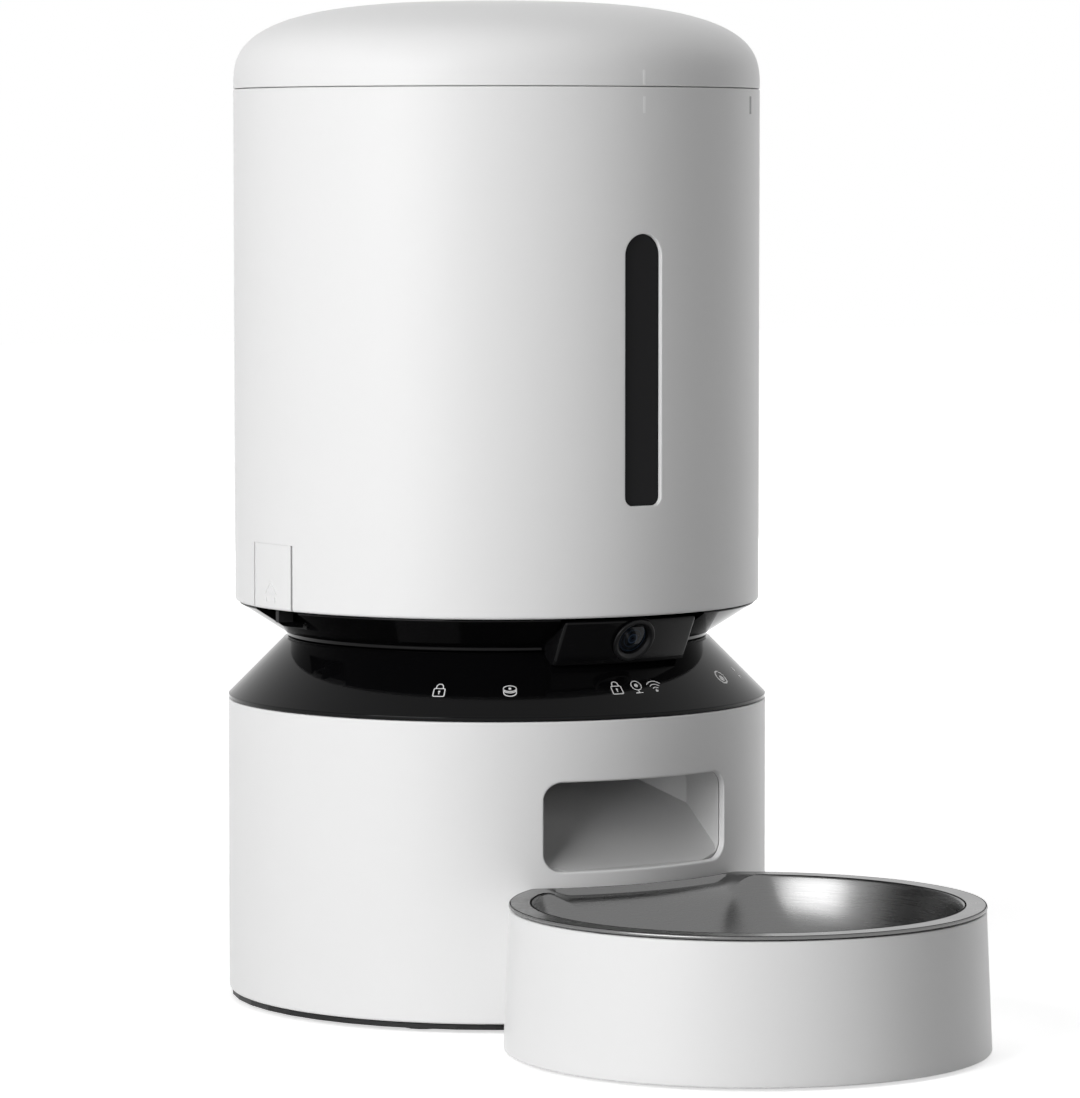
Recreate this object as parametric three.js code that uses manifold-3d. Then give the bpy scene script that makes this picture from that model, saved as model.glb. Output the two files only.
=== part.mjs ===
// A feeder for dry pet food: a round base with a camera and a food chute, a food tank with a
// twist-on lid, and a steel bowl in a tray that hooks onto the base.
// Millimetres, +Z up. The camera, the chute and the bowl face -Y. The origin is on the floor,
// under the middle of the whole outline.
import * as THREE from "three";
import { mergeVertices } from "three/addons/utils/BufferGeometryUtils.js";
import Module from "manifold-3d";

const wasm = await Module();
wasm.setup();

// Clearances shared by all the pieces
const SEAT_GAP = 0.3; // between pieces that rest on or locate in each other
const RUN_GAP = 0.6; // round what turns or lifts
const OVERRUN = 1; // how far a cutting shape passes the surface that it cuts

// Base shell
const BASE_R = 92;
const BASE_WALL = 2.6;
const BASE_LOW = 2.7;
const BASE_TOP = 102.2;
const BASE_EDGE = 0.8;

// Base plate, its battery bay and the rubber feet
const PLATE_LOW = 0.8;
const PLATE_THICK = 2.6;
const PLATE_INSET = 0.8;
const PLATE_LIP = 1.6;
const SPIGOT_WALL = 2.4;
const SPIGOT_TALL = 3.6;
const FOOT_R = 7;
const FOOT_SINK = 1.2;
const FOOT_X_SHARE = 0.674; // shares of the base's radius
const FOOT_Y_SHARE = 0.565;
const BAY_HALF_SHARE = 0.5652;
const BAY_BACK_SHARE = 0.663;
const SPEAKER_Y_SHARE = 0.5;
const BAY_FRONT = -2;
const BAY_TALL = 37.5;
const BOX_WALL = 1.8;
const DOOR_GAP = 0.6;
const DOOR_THICK = 2;
const STRIP_THICK = 0.8;
const STRIP_TALL = 24;
const STRIP_END_GAP = 6;
const SPEAKER_R = 14;
const SPEAKER_TALL = 9;
const GRILLE_SLOTS = 5;
const GRILLE_SLOT_WIDE = 2;
const GRILLE_SLOT_LONG = 20;
const GRILLE_PITCH = 4;

// Boards, gearbox and motor
const BOARD_THICK = 1.6;
const BOARD_SIDE_GAP = 12; // from the control board to the battery bay's sides
const BOARD_FRONT_GAP = 10;
const BOARD_BACK_GAP = 5;
const STANDOFF_R = 3;
const STANDOFF_TALL = 4;
const STANDOFF_INSET = 4;
const GEARBOX_HALF = 30;
const GEARBOX_FRONT = -14;
const GEARBOX_BACK = 46;
const GEARBOX_TALL = 17;
const GEARBOX_BOSS_R = 4;
const GEARBOX_BOSS_TALL = 2.4;
const MOTOR_R = 12;
const MOTOR_TALL = 25;
const MOTOR_CAN_R = 6;
const MOTOR_CAN_TALL = 2;
const MOTOR_X = 14;
const MOTOR_Y = 30;
const SHAFT_R = 5;
const HEX_FLAT = 12; // across the flats of the drive head
const HEX_TALL = 9;
const SHAFT_HOLE_R = 8;

// Power inlet
const INLET_HALF = 7;
const INLET_DEEP = 15;
const INLET_TALL = 22;
const INLET_Z = 18;
const INLET_NOSE_R = 5.4;
const INLET_BORE_R = 3.2;
const INLET_BORE_DEEP = 10;
const INLET_PIN_R = 1;
const INLET_SINK = 0.5;

// Chute and its mouth
const MOUTH_HALF = 35.8;
const MOUTH_LOW = 52.6;
const MOUTH_HIGH = 82.1;
const MOUTH_CORNER = 6;
const CHUTE_WALL = 2;
const CHUTE_STRAIGHT = 22; // depth of the parallel side walls behind the mouth's corners
const CHUTE_TAPER = 10.6; // depth over which the side walls draw in
const CHUTE_BACK_HALF = 23;
const CHUTE_BACK = -20;
const CHUTE_AHEAD = 3; // from the drop hole's front to the chute's
const RAMP_SLOPE = Math.tan(THREE.MathUtils.degToRad(37));

// Shoulder cover: the black cone, the neck and the well that the tank plugs into
const COVER_WALL = 3;
const COVER_BAND = 1.2;
const COVER_CORNER = 0.5;
const COVER_SPIGOT = 4;
const NECK_STEP = 17.875; // how much narrower the neck is than the mean of base and tank
const CONE_RISE = 19.1;
const NECK_ROUND = 0.9;
const WELL_STEP = 5.5;
const WELL_WALL = 2.6;
const DECK_TOP = 102;
const DECK_THICK = 2.4;
const DROP_IN = 24; // the hole that food drops through, from this far in front of the axis
const DROP_WALL = 7.4; // between its front and the rotor chamber's wall
const DROP_HALF_DEG = 23;
const DROP_STEP = 1.5; // how much the deck's hole is larger than the tank's, all round
const FILM_THICK = 1;
const FILM_INSET = 2.1;
const FILM_OUTSET = 0.7;
const FILM_HALF_DEG = 52;

// Camera block, under the tank's front edge
const CAMERA_HALF = 25.9;
const CAMERA_TOP = 134.6;
const CAMERA_TOP_REACH = 14; // beyond the neck's radius, as the next ones
const CAMERA_LOW = 119.3;
const CAMERA_LOW_REACH = 6.2;
const CAMERA_CHAMFER = 1.3;
const CAMERA_FACE_REACH = 7;
const CAMERA_BACK_REACH = 0.7;
const CAVITY_HALF = 10.5;
const CAVITY_DEEP = 3.9;
const CAVITY_LOW = 123.2;
const CAVITY_HIGH = 133.6;
const LENS_RING_R = 7.8;
const LENS_RING_STEP = 1.2;
const LENS_RING_PROUD = 0.8;
const LENS_RING_DEEP = 3;
const LENS_RING_WALL = 1;
const GLASS_R = 5.3;
const GLASS_SINK = 0.2;
const GLASS_THICK = 1.6;
const GLASS_CROWN = 0.5;
const BARREL_R = 4.6;
const BARREL_LONG = 4;
const CAMERA_BOARD_HALF = 9;
const CAMERA_BOARD_THICK = 1.2;

// Food tank
const TANK_R = 89.55;
const TANK_WALL = 2.4;
const TANK_LOW = 135.6;
const TANK_TOP = 309.2;
const TANK_LOW_ROUND = 1.2;
const TANK_TOP_EDGE = 0.5;
const WINDOW_HALF = 7.06;
const WINDOW_RISE = 36.3; // from the tank's lower edge
const WINDOW_DROP = 48; // from its top
const WINDOW_CORNER = 3;
const WINDOW_SINK = 1.6;
const WINDOW_FLANGE = 2.5;
const WINDOW_FLANGE_THICK = 1.4;
const LEDGE_WIDE = 3.15;
const LEDGE_DROP = 9;
const LEDGE_THICK = 2.4;

// Tank funnel: the black cone below and the food cone inside. Rotor chamber: the cup under it that
// plugs into the well.
const FUNNEL_LOW_STEP = 1.3;
const FUNNEL_LOW = 124.25;
const FUNNEL_OUT_STEP = 1.35;
const FUNNEL_OUT_DROP = 0.5;
const FUNNEL_BEAD = 0.6;
const FUNNEL_WALL = 2.4;
const FUNNEL_SPIGOT = 5.7;
const FUNNEL_SPIGOT_WALL = 1.9;
const FUNNEL_TOP = 164.4;
const FUNNEL_LIP = 0.5;
const CHAMBER_WALL = 2.4;
const CHAMBER_FLOOR_THICK = 2.2;
const CHAMBER_TOP = 126;
const CHAMBER_LEDGE = 2.2;
const CHAMBER_LEDGE_TALL = 2.3;
const CROTCH_STEP = 4.2;
const CHAMBER_SPLIT = 120; // where the rotor chamber meets the funnel
const BAFFLE_THICK = 2;
const BAFFLE_IN = 14;
const BAFFLE_HALF_DEG = 42;

// Release tabs in the tank's sides
const TAB_HALF = 11.7;
const TAB_SLIT = 1;
const TAB_TOP = 157.3;
const TAB_TRAVEL = 2.6;
const PRONG_SHARE = 0.34; // of the tank's overhang beyond the neck
const PRONG_LOW = 131.2;
const PRONG_HALF = 0.9;
const PRONG_TOP = 141;
const POCKET_FLOOR = 126;

// Feed rotor and stirrer
const HUB_R = 10;
const HUB_TALL = 19;
const VANES = 6;
const VANE_THICK = 2.6;
const VANE_TALL = 16;
const VANE_TIP_TALL = 12;
const VANE_WALL_GAP = 3;
const STIRRER_R = 11;
const STIRRER_SKIRT = 3;
const STIRRER_TALL = 16;
const STIRRER_TIP_R = 3;
const FINGERS = 3;
const FINGER_R = 2;
const FINGER_LONG = 30;
const FINGER_RISE = 9;

// Lid
const LID_SEAM = 0.6;
const LID_TALL = 29.1;
const LID_POWER = 2.95; // exponent of the dome's profile
const LID_WALL = 2.2;
const LINER_THICK = 2;
const LINER_RISE = 0.2;
const LINER_RING_INSET = 3.75;
const LINER_RING_WALL = 2;
const LINER_RING_DEEP = 13.8;
const LINER_BEAD = 1;
const LINER_BEAD_Z = -5.6;
const LINER_BEAD_HALF = 0.4;
const SEAL_GROOVE = 0.6;
const SEAL_LOW = -4.9;
const SEAL_TOP = -0.1;
const LUGS = 3;
const LUG_GAP = 0.95;
const LUG_THICK = 2.4;
const LUG_DEG = 24;
const LUG_ENTRY_DEG = 34;
const LUG_FIRST_DEG = -30;
const DESICCANT_R = 30;
const DESICCANT_WALL = 2;
const DESICCANT_TALL = 16;
const DESICCANT_CAP_THICK = 2;
const DESICCANT_CAP_STEP = 1.5;
const DESICCANT_PLUG_TALL = 5;
const DESICCANT_SLOTS = 8;
const DESICCANT_SLOT_WIDE = 2.4;
const DESICCANT_SLOT_IN = 8;
const DESICCANT_SLOT_OUT = 22;

// Bowl and tray. Both are rounds with a bite that fits the base.
const BOWL_REACH = 149.35; // from the base's axis to the bowl's
const BITE_GAP = 0.8;
const BITE_DEEP = 21.95; // how far the bite reaches into the tray's round
const TRAY_TAPER = 1.9;
const TRAY_LOW = 0.6;
const TRAY_TOP = 45.9;
const TRAY_WALL = 2.4;
const TRAY_FLOOR = 3.4;
const TRAY_HORN = 3;
const PAD_R = 5;
const PAD_SINK = 0.9;
const PAD_INSET = 22.5;
const TONGUE_IN = 17;
const TONGUE_OUT = 29;
const TONGUE_LOW = 3.9;
const TONGUE_THICK = 2.7;
const TONGUE_REACH = 16;
const TONGUE_ROOT = 6;
const NOTCH_GAP = 1;
const RIM_STEP = 1.7;
const RIM_THICK = 1.3;
const RIM_TOP = 47.6;
const RIM_HORN = 2;
const OPENING_STEP = 9.7;
const OPENING_BITE = 8.2; // rim's width along the bite
const OPENING_HORN = 14;
const BOWL_WALL = 1;
const BOWL_DEEP = 27.6;
const BOWL_POWER = 2.6; // exponent of the bowl's profile
const BOWL_LEVELS = 4;
const BOWL_HEART = 15; // how far in front of the bowl's axis its hollow closes
const SPILL_HALF_DEG = 20.8; // the part of the rim under the chute, which is sunk
const SPILL_SINK = 2.3;
const SPILL_EDGE = 1.2;
const SHELF_EXTRA_DEG = 1; // how much further round the shelf under that part reaches
const SHELF_GAP_DEG = 1; // and the gap for it in the tray

// Facets: round walls that show, and rounds inside
const ROUND = 44;
const INNER_ROUND = 34;
const SMALL_ROUND = 16;
const DOME_STEPS = 9;
const DOME_INNER_STEPS = 6;
const BITE_STEPS = 10;
const HORN_STEPS = 3;
const WELD = 1e-4; // corners nearer than this are one

const TURN_DEG = 360;
const FRONT_DEG = -TURN_DEG / 4; // the front's direction, counted from +X

// Heights and radii that follow, in the base
const shellIn = BASE_R - BASE_WALL;
const plateTop = PLATE_LOW + PLATE_THICK;
const spigotR = shellIn - SEAT_GAP;
const skirtIn = spigotR - SPIGOT_WALL;
const footTop = PLATE_LOW + FOOT_SINK;
const footX = BASE_R * FOOT_X_SHARE;
const footY = BASE_R * FOOT_Y_SHARE;
const bayHalf = BASE_R * BAY_HALF_SHARE;
const bayBack = BASE_R * BAY_BACK_SHARE;
const speakerY = -BASE_R * SPEAKER_Y_SHARE;
const bayLow = plateTop + SEAT_GAP;
const bayTop = bayLow + BAY_TALL;
const boxTop = bayTop + BOX_WALL;
const boardLow = boxTop + STANDOFF_TALL + SEAT_GAP;
const boardHalf = bayHalf - BOARD_SIDE_GAP;
const boardFront = BAY_FRONT + BOARD_FRONT_GAP;
const boardBack = bayBack - BOARD_BACK_GAP;
const deckLow = DECK_TOP - DECK_THICK;
const gearboxTop = deckLow - SEAT_GAP - GEARBOX_BOSS_TALL;
const motorTop = gearboxTop - GEARBOX_TALL - SEAT_GAP;
const shaftLow = gearboxTop + SEAT_GAP;

// The cone between the base's rim and its neck, and the well inside it
const neckR = (BASE_R + TANK_R) / 2 - NECK_STEP;
const coverLow = BASE_TOP + SEAT_GAP;
const coneLow = coverLow + COVER_BAND;
const coneSlope = CONE_RISE / (BASE_R - neckR);
const coneLean = Math.sqrt(1 + coneSlope ** 2);
const coneZ = (r) => coneLow + (BASE_R - r) * coneSlope;
const neckTop = coneZ(neckR) + COVER_CORNER;
const wellR = neckR - WELL_STEP;
const filmIn = neckR + FILM_INSET;
const filmOut = skirtIn - FILM_OUTSET;
const cameraTopR = neckR + CAMERA_TOP_REACH;
const cameraFaceR = neckR + CAMERA_FACE_REACH;
const cameraLowR = neckR + CAMERA_LOW_REACH;
const cameraBackR = neckR + CAMERA_BACK_REACH;

// In the tank and the lid
const plugR = wellR - RUN_GAP;
const chamberR = plugR - CHAMBER_WALL;
const dropOut = chamberR - DROP_WALL;
const plugLow = DECK_TOP + SEAT_GAP;
const chamberFloor = plugLow + CHAMBER_FLOOR_THICK;
const rotorLow = chamberFloor + SEAT_GAP;
const rotorTop = rotorLow + HUB_TALL;
const tankIn = TANK_R - TANK_WALL;
const funnelR = tankIn - SEAT_GAP;
const funnelLowR = neckR - FUNNEL_LOW_STEP;
const funnelOutR = TANK_R - FUNNEL_OUT_STEP;
const crotchR = plugR + CROTCH_STEP;
const prongIn = tankIn - (TANK_R - neckR) * PRONG_SHARE;
const windowLow = TANK_LOW + WINDOW_RISE;
const windowHigh = TANK_TOP - WINDOW_DROP;
const ledgeLow = TANK_TOP - LEDGE_DROP;
const lidLow = TANK_TOP + LID_SEAM;
const linerRingR = tankIn - LINER_RING_INSET;

// In the bowl and its tray
const biteR = BASE_R + BITE_GAP;
const trayLowR = BOWL_REACH - biteR + BITE_DEEP;
const trayTopR = trayLowR - TRAY_TAPER;
const rimR = trayLowR - RIM_STEP;
const openingR = trayLowR - OPENING_STEP;
const padSpread = trayLowR - PAD_INSET;
const spillLow = RIM_TOP - SPILL_SINK - RIM_THICK;
const shelfHalfDeg = SPILL_HALF_DEG + SHELF_EXTRA_DEG;

// Materials
const white = new THREE.MeshStandardMaterial({ color: 0xeeeeec, roughness: 0.45, metalness: 0 });
const glossBlack = new THREE.MeshStandardMaterial({ color: 0x101011, roughness: 0.12, metalness: 0 });
const mattBlack = new THREE.MeshStandardMaterial({ color: 0x1b1b1c, roughness: 0.6, metalness: 0 });
const chuteGrey = new THREE.MeshStandardMaterial({ color: 0xd9d9d8, roughness: 0.5, metalness: 0 });
const smoked = new THREE.MeshStandardMaterial({ color: 0x1a1a1b, roughness: 0.2, metalness: 0 });
const rubber = new THREE.MeshStandardMaterial({ color: 0x2a2a2b, roughness: 0.85, metalness: 0 });
const silicone = new THREE.MeshStandardMaterial({ color: 0xc9cacb, roughness: 0.7, metalness: 0 });
const steel = new THREE.MeshStandardMaterial({ color: 0xb9babb, roughness: 0.3, metalness: 1 });
const boardGreen = new THREE.MeshStandardMaterial({ color: 0x1f5a36, roughness: 0.5, metalness: 0 });
const glass = new THREE.MeshStandardMaterial({ color: 0x0c1016, roughness: 0.05, metalness: 0 });

// Turns a closed geometry into a solid, whichever way round its faces were wound.
function solid(geometry) {
  const bare = geometry.index ? geometry.toNonIndexed() : geometry.clone();
  bare.deleteAttribute("normal");
  bare.deleteAttribute("uv");
  const merged = mergeVertices(bare, WELD);
  const place = merged.attributes.position;
  const corners = [];
  let volume = 0;
  const [a, b, c] = [new THREE.Vector3(), new THREE.Vector3(), new THREE.Vector3()];
  for (let i = 0; i < merged.index.count; i += 3) {
    const [p, q, r] = [0, 1, 2].map((k) => merged.index.getX(i + k));
    if (p === q || q === r || r === p) continue;
    corners.push(p, q, r);
    a.fromBufferAttribute(place, p);
    b.fromBufferAttribute(place, q);
    c.fromBufferAttribute(place, r);
    volume += a.dot(b.cross(c));
  }
  if (volume < 0) corners.reverse();
  const mesh = new wasm.Mesh({
    numProp: 3,
    vertProperties: place.array,
    triVerts: new Uint32Array(corners),
  });
  return new wasm.Manifold(mesh);
}

// Gives a solid's faces back as a geometry with flat shading.
function shown(made) {
  const mesh = made.getMesh();
  const geometry = new THREE.BufferGeometry();
  const places = new Float32Array(mesh.numVert * 3);
  for (let i = 0; i < mesh.numVert; i++) {
    places.set(mesh.vertProperties.subarray(i * mesh.numProp, i * mesh.numProp + 3), i * 3);
  }
  geometry.setAttribute("position", new THREE.BufferAttribute(places, 3));
  geometry.setIndex(new THREE.BufferAttribute(mesh.triVerts, 1));
  const flat = geometry.toNonIndexed();
  flat.computeVertexNormals();
  return flat;
}

// A closed profile of [radius, height] points turned about the Z axis. One that starts and ends
// on the axis is closed there, and any other is closed by joining its ends.
function revolve(profile, segments = ROUND) {
  const points = profile.map(([r, z]) => new THREE.Vector2(r, z));
  if (profile[0][0] > 0) points.push(points[0].clone());
  return solid(new THREE.LatheGeometry(points, segments).rotateX(Math.PI / 2));
}

function ring(inner, outer, low, high, segments = ROUND) {
  return revolve([[inner, low], [outer, low], [outer, high], [inner, high]], segments);
}

function disc(radius, low, high, segments = ROUND) {
  return revolve([[0, low], [radius, low], [radius, high], [0, high]], segments);
}

function box(x0, x1, y0, y1, z0, z1) {
  const geometry = new THREE.BoxGeometry(x1 - x0, y1 - y0, z1 - z0);
  return solid(geometry.translate((x0 + x1) / 2, (y0 + y1) / 2, (z0 + z1) / 2));
}

// An outline in X and Y carried up from low to high.
function prismZ(outline, low, high, curveSegments = 6) {
  const shape = Array.isArray(outline) ? new THREE.Shape(outline) : outline;
  const options = { depth: high - low, bevelEnabled: false, curveSegments };
  return solid(new THREE.ExtrudeGeometry(shape, options).translate(0, 0, low));
}

// An outline in X and Z carried back from front to back along Y.
function prismY(shape, front, back) {
  const options = { depth: back - front, bevelEnabled: false, curveSegments: 6 };
  const geometry = new THREE.ExtrudeGeometry(shape, options).rotateX(Math.PI / 2);
  return solid(geometry.translate(0, back, 0));
}

// An outline in Y and Z carried across from left to right along X.
function prismX(points, left, right) {
  const shape = new THREE.Shape(points.map(([y, z]) => new THREE.Vector2(y, z)));
  const options = { depth: right - left, bevelEnabled: false };
  const turn = new THREE.Matrix4().set(0, 0, 1, left, 1, 0, 0, 0, 0, 1, 0, 0, 0, 0, 0, 1);
  return solid(new THREE.ExtrudeGeometry(shape, options).applyMatrix4(turn));
}

// A rod between two points.
function rod(radius, from, to, segments = SMALL_ROUND) {
  const along = to.clone().sub(from);
  const geometry = new THREE.CylinderGeometry(radius, radius, along.length(), segments);
  const turn = new THREE.Quaternion().setFromUnitVectors(
    new THREE.Vector3(0, 1, 0),
    along.clone().normalize(),
  );
  const middle = from.clone().addScaledVector(along, 1 / 2);
  return solid(geometry.applyQuaternion(turn).translate(middle.x, middle.y, middle.z));
}

function upright(radius, x, y, low, high, segments = SMALL_ROUND) {
  return rod(radius, new THREE.Vector3(x, y, low), new THREE.Vector3(x, y, high), segments);
}

// Part of a ring, centred on an angle that is counted from +X.
function sector(inner, outer, middleDeg, halfDeg, low, high) {
  const shape = new THREE.Shape();
  const start = THREE.MathUtils.degToRad(middleDeg - halfDeg);
  const end = THREE.MathUtils.degToRad(middleDeg + halfDeg);
  shape.absarc(0, 0, outer, start, end, false);
  shape.absarc(0, 0, inner, end, start, true);
  return prismZ(shape, low, high, 10);
}

function roundedRect(x0, z0, x1, z1, lowCorner, highCorner = lowCorner) {
  const shape = new THREE.Shape();
  shape.absarc(x1 - lowCorner, z0 + lowCorner, lowCorner, -Math.PI / 2, 0, false);
  shape.absarc(x1 - highCorner, z1 - highCorner, highCorner, 0, Math.PI / 2, false);
  shape.absarc(x0 + highCorner, z1 - highCorner, highCorner, Math.PI / 2, Math.PI, false);
  shape.absarc(x0 + lowCorner, z0 + lowCorner, lowCorner, Math.PI, (3 * Math.PI) / 2, false);
  return shape;
}

function place(group, name, made, material) {
  const mesh = new THREE.Mesh(made.isBufferGeometry ? made : shown(made), material);
  mesh.name = name;
  group.add(mesh);
  return mesh;
}

const feeder = new THREE.Group();
const base = new THREE.Group();
const tank = new THREE.Group();
const lid = new THREE.Group();
const dish = new THREE.Group();
feeder.add(base, tank, lid, dish);
feeder.position.y = (BOWL_REACH + trayLowR - BASE_R) / 2;
lid.position.z = lidLow;

const notchIn = TONGUE_IN - NOTCH_GAP;
const notchOut = TONGUE_OUT + NOTCH_GAP;
const notchHigh = TONGUE_LOW + TONGUE_THICK + NOTCH_GAP;

// The two notches at the base's front foot that take the tray's tongues.
function tongueNotches() {
  const back = -Math.sqrt(spigotR ** 2 - notchOut ** 2) + SPIGOT_WALL + OVERRUN;
  const right = box(notchIn, notchOut, -BASE_R - OVERRUN, back, plateTop, notchHigh);
  const left = box(-notchOut, -notchIn, -BASE_R - OVERRUN, back, plateTop, notchHigh);
  return right.add(left);
}

// The base's outer wall, with the chute's mouth, the tongue notches and the inlet's hole.
function baseShell() {
  const wall = revolve([
    [shellIn, BASE_LOW],
    [BASE_R - BASE_EDGE, BASE_LOW],
    [BASE_R, BASE_LOW + BASE_EDGE],
    [BASE_R, BASE_TOP - BASE_EDGE],
    [BASE_R - BASE_EDGE, BASE_TOP],
    [shellIn, BASE_TOP],
  ]);
  const mouth = roundedRect(-MOUTH_HALF, MOUTH_LOW, MOUTH_HALF, MOUTH_HIGH, MOUTH_CORNER);
  const from = new THREE.Vector3(0, shellIn - OVERRUN, INLET_Z);
  const to = new THREE.Vector3(0, BASE_R + OVERRUN, INLET_Z);
  return wall
    .subtract(prismY(mouth, -BASE_R - OVERRUN, 0))
    .subtract(tongueNotches())
    .subtract(rod(INLET_NOSE_R + SEAT_GAP, from, to));
}

// The underside: a disc with a lip that shows as a dark ring and a spigot inside the shell.
function basePlate() {
  const edgeR = BASE_R - PLATE_INSET;
  let plate = revolve([
    [0, PLATE_LOW],
    [edgeR, PLATE_LOW],
    [edgeR, PLATE_LOW + PLATE_LIP],
    [spigotR, PLATE_LOW + PLATE_LIP],
    [spigotR, plateTop + SPIGOT_TALL],
    [spigotR - SPIGOT_WALL, plateTop + SPIGOT_TALL],
    [spigotR - SPIGOT_WALL, plateTop],
    [0, plateTop],
  ]);
  plate = plate.subtract(tongueNotches());
  plate = plate.subtract(
    box(-bayHalf, bayHalf, BAY_FRONT, bayBack, PLATE_LOW - OVERRUN, plateTop + OVERRUN),
  );
  for (const [x, y] of footPlaces()) {
    plate = plate.subtract(
      upright(FOOT_R + SEAT_GAP, x, y, PLATE_LOW - OVERRUN, footTop + SEAT_GAP),
    );
  }
  for (let i = 0; i < GRILLE_SLOTS; i++) {
    const y = (i - (GRILLE_SLOTS - 1) / 2) * GRILLE_PITCH;
    const x0 = -GRILLE_SLOT_LONG / 2;
    const y0 = speakerY + y - GRILLE_SLOT_WIDE / 2;
    plate = plate.subtract(
      box(
        x0, x0 + GRILLE_SLOT_LONG,
        y0, y0 + GRILLE_SLOT_WIDE,
        PLATE_LOW - OVERRUN, plateTop + OVERRUN,
      ),
    );
  }
  return plate;
}

function footPlaces() {
  return [[-footX, -footY], [footX, -footY], [-footX, footY], [footX, footY]];
}

// The battery bay's box, open below, with standoffs on its roof for the control board.
function batteryBox() {
  let made = box(
    -bayHalf - BOX_WALL, bayHalf + BOX_WALL,
    BAY_FRONT - BOX_WALL, bayBack + BOX_WALL,
    bayLow, boxTop,
  );
  made = made.subtract(
    box(-bayHalf, bayHalf, BAY_FRONT, bayBack, bayLow - OVERRUN, bayTop),
  );
  for (const x of [-boardHalf + STANDOFF_INSET, boardHalf - STANDOFF_INSET]) {
    for (const y of [boardFront + STANDOFF_INSET, boardBack - STANDOFF_INSET]) {
      made = made.add(upright(STANDOFF_R, x, y, bayTop, boxTop + STANDOFF_TALL, SMALL_ROUND / 2));
    }
  }
  return made;
}

// The gearbox hangs from the deck on four bosses, with the drive shaft rising from it.
function gearbox() {
  const low = gearboxTop - GEARBOX_TALL;
  let made = box(-GEARBOX_HALF, GEARBOX_HALF, GEARBOX_FRONT, GEARBOX_BACK, low, gearboxTop);
  for (const x of [-GEARBOX_HALF + GEARBOX_BOSS_R, GEARBOX_HALF - GEARBOX_BOSS_R]) {
    for (const y of [GEARBOX_FRONT + GEARBOX_BOSS_R, GEARBOX_BACK - GEARBOX_BOSS_R]) {
      const top = gearboxTop + GEARBOX_BOSS_TALL;
      made = made.add(upright(GEARBOX_BOSS_R, x, y, low, top, SMALL_ROUND / 2));
    }
  }
  return made;
}

function hexagon(acrossFlats) {
  const corner = acrossFlats / Math.sqrt(3);
  return [0, 1, 2, 3, 4, 5].map((i) => {
    const angle = (i * Math.PI) / 3;
    return new THREE.Vector2(corner * Math.cos(angle), corner * Math.sin(angle));
  });
}

// The drive shaft with the hexagonal head that the rotor drops onto.
function driveCoupling() {
  const head = prismZ(hexagon(HEX_FLAT), DECK_TOP, rotorLow + HEX_TALL);
  return upright(SHAFT_R, 0, 0, shaftLow, DECK_TOP + OVERRUN).add(head);
}

// The power inlet: a block on the plate with a nose through the shell, a bore and a pin.
function powerInlet() {
  const back = Math.sqrt((spigotR - SPIGOT_WALL) ** 2 - INLET_HALF ** 2) - SEAT_GAP;
  const nose = BASE_R - INLET_SINK;
  const at = (y) => new THREE.Vector3(0, y, INLET_Z);
  const block = box(
    -INLET_HALF, INLET_HALF,
    back - INLET_DEEP, back,
    plateTop + SEAT_GAP, plateTop + SEAT_GAP + INLET_TALL,
  );
  return block
    .add(rod(INLET_NOSE_R, at(back - OVERRUN), at(nose)))
    .subtract(rod(INLET_BORE_R, at(nose - INLET_BORE_DEEP), at(nose + OVERRUN)))
    .add(rod(INLET_PIN_R, at(nose - INLET_BORE_DEEP - OVERRUN), at(nose - OVERRUN), SMALL_ROUND / 2));
}

// The space that food slides through: a ramp that rises from the mouth to the drop hole,
// with side walls that run straight and then draw in.
function chuteHollow(grow) {
  const cornerY = -Math.sqrt(BASE_R ** 2 - MOUTH_HALF ** 2);
  const straightEnd = cornerY + CHUTE_STRAIGHT;
  const taperEnd = straightEnd + CHUTE_TAPER;
  const wide = MOUTH_HALF + grow;
  const narrow = CHUTE_BACK_HALF + grow;
  const front = -BASE_R - OVERRUN;
  const back = CHUTE_BACK + grow;
  const plan = [
    [-wide, front], [wide, front], [wide, straightEnd], [narrow, taperEnd],
    [narrow, back], [-narrow, back], [-narrow, taperEnd], [-wide, straightEnd],
  ].map(([x, y]) => new THREE.Vector2(x, y));
  const rampDrop = grow * Math.sqrt(1 + RAMP_SLOPE ** 2);
  const rampBack = MOUTH_LOW + (back - cornerY) * RAMP_SLOPE - rampDrop;
  const dropFront = -dropOut - CHUTE_AHEAD - grow;
  const top = grow > 0 ? deckLow - SEAT_GAP : deckLow + OVERRUN;
  const side = [
    [front, MOUTH_LOW - grow],
    [cornerY + (rampDrop - grow) / RAMP_SLOPE, MOUTH_LOW - grow],
    [back, Math.min(rampBack, top - grow)],
    [back, top],
    [dropFront, top],
    [dropFront, MOUTH_HIGH + grow],
    [front, MOUTH_HIGH + grow],
  ];
  const widest = BASE_R;
  const tunnel = prismZ(plan, 0, BASE_TOP).intersect(prismX(side, -widest, widest));
  const mouth = roundedRect(
    -wide, MOUTH_LOW - grow, wide, MOUTH_HIGH + grow, MOUTH_CORNER + grow,
  );
  const throat = box(-widest, widest, dropFront, 0, 0, BASE_TOP);
  return tunnel.intersect(prismY(mouth, front - OVERRUN, dropFront).add(throat));
}

function chute() {
  const within = disc(spigotR, 0, BASE_TOP);
  return chuteHollow(CHUTE_WALL).intersect(within).subtract(chuteHollow(0));
}

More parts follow.
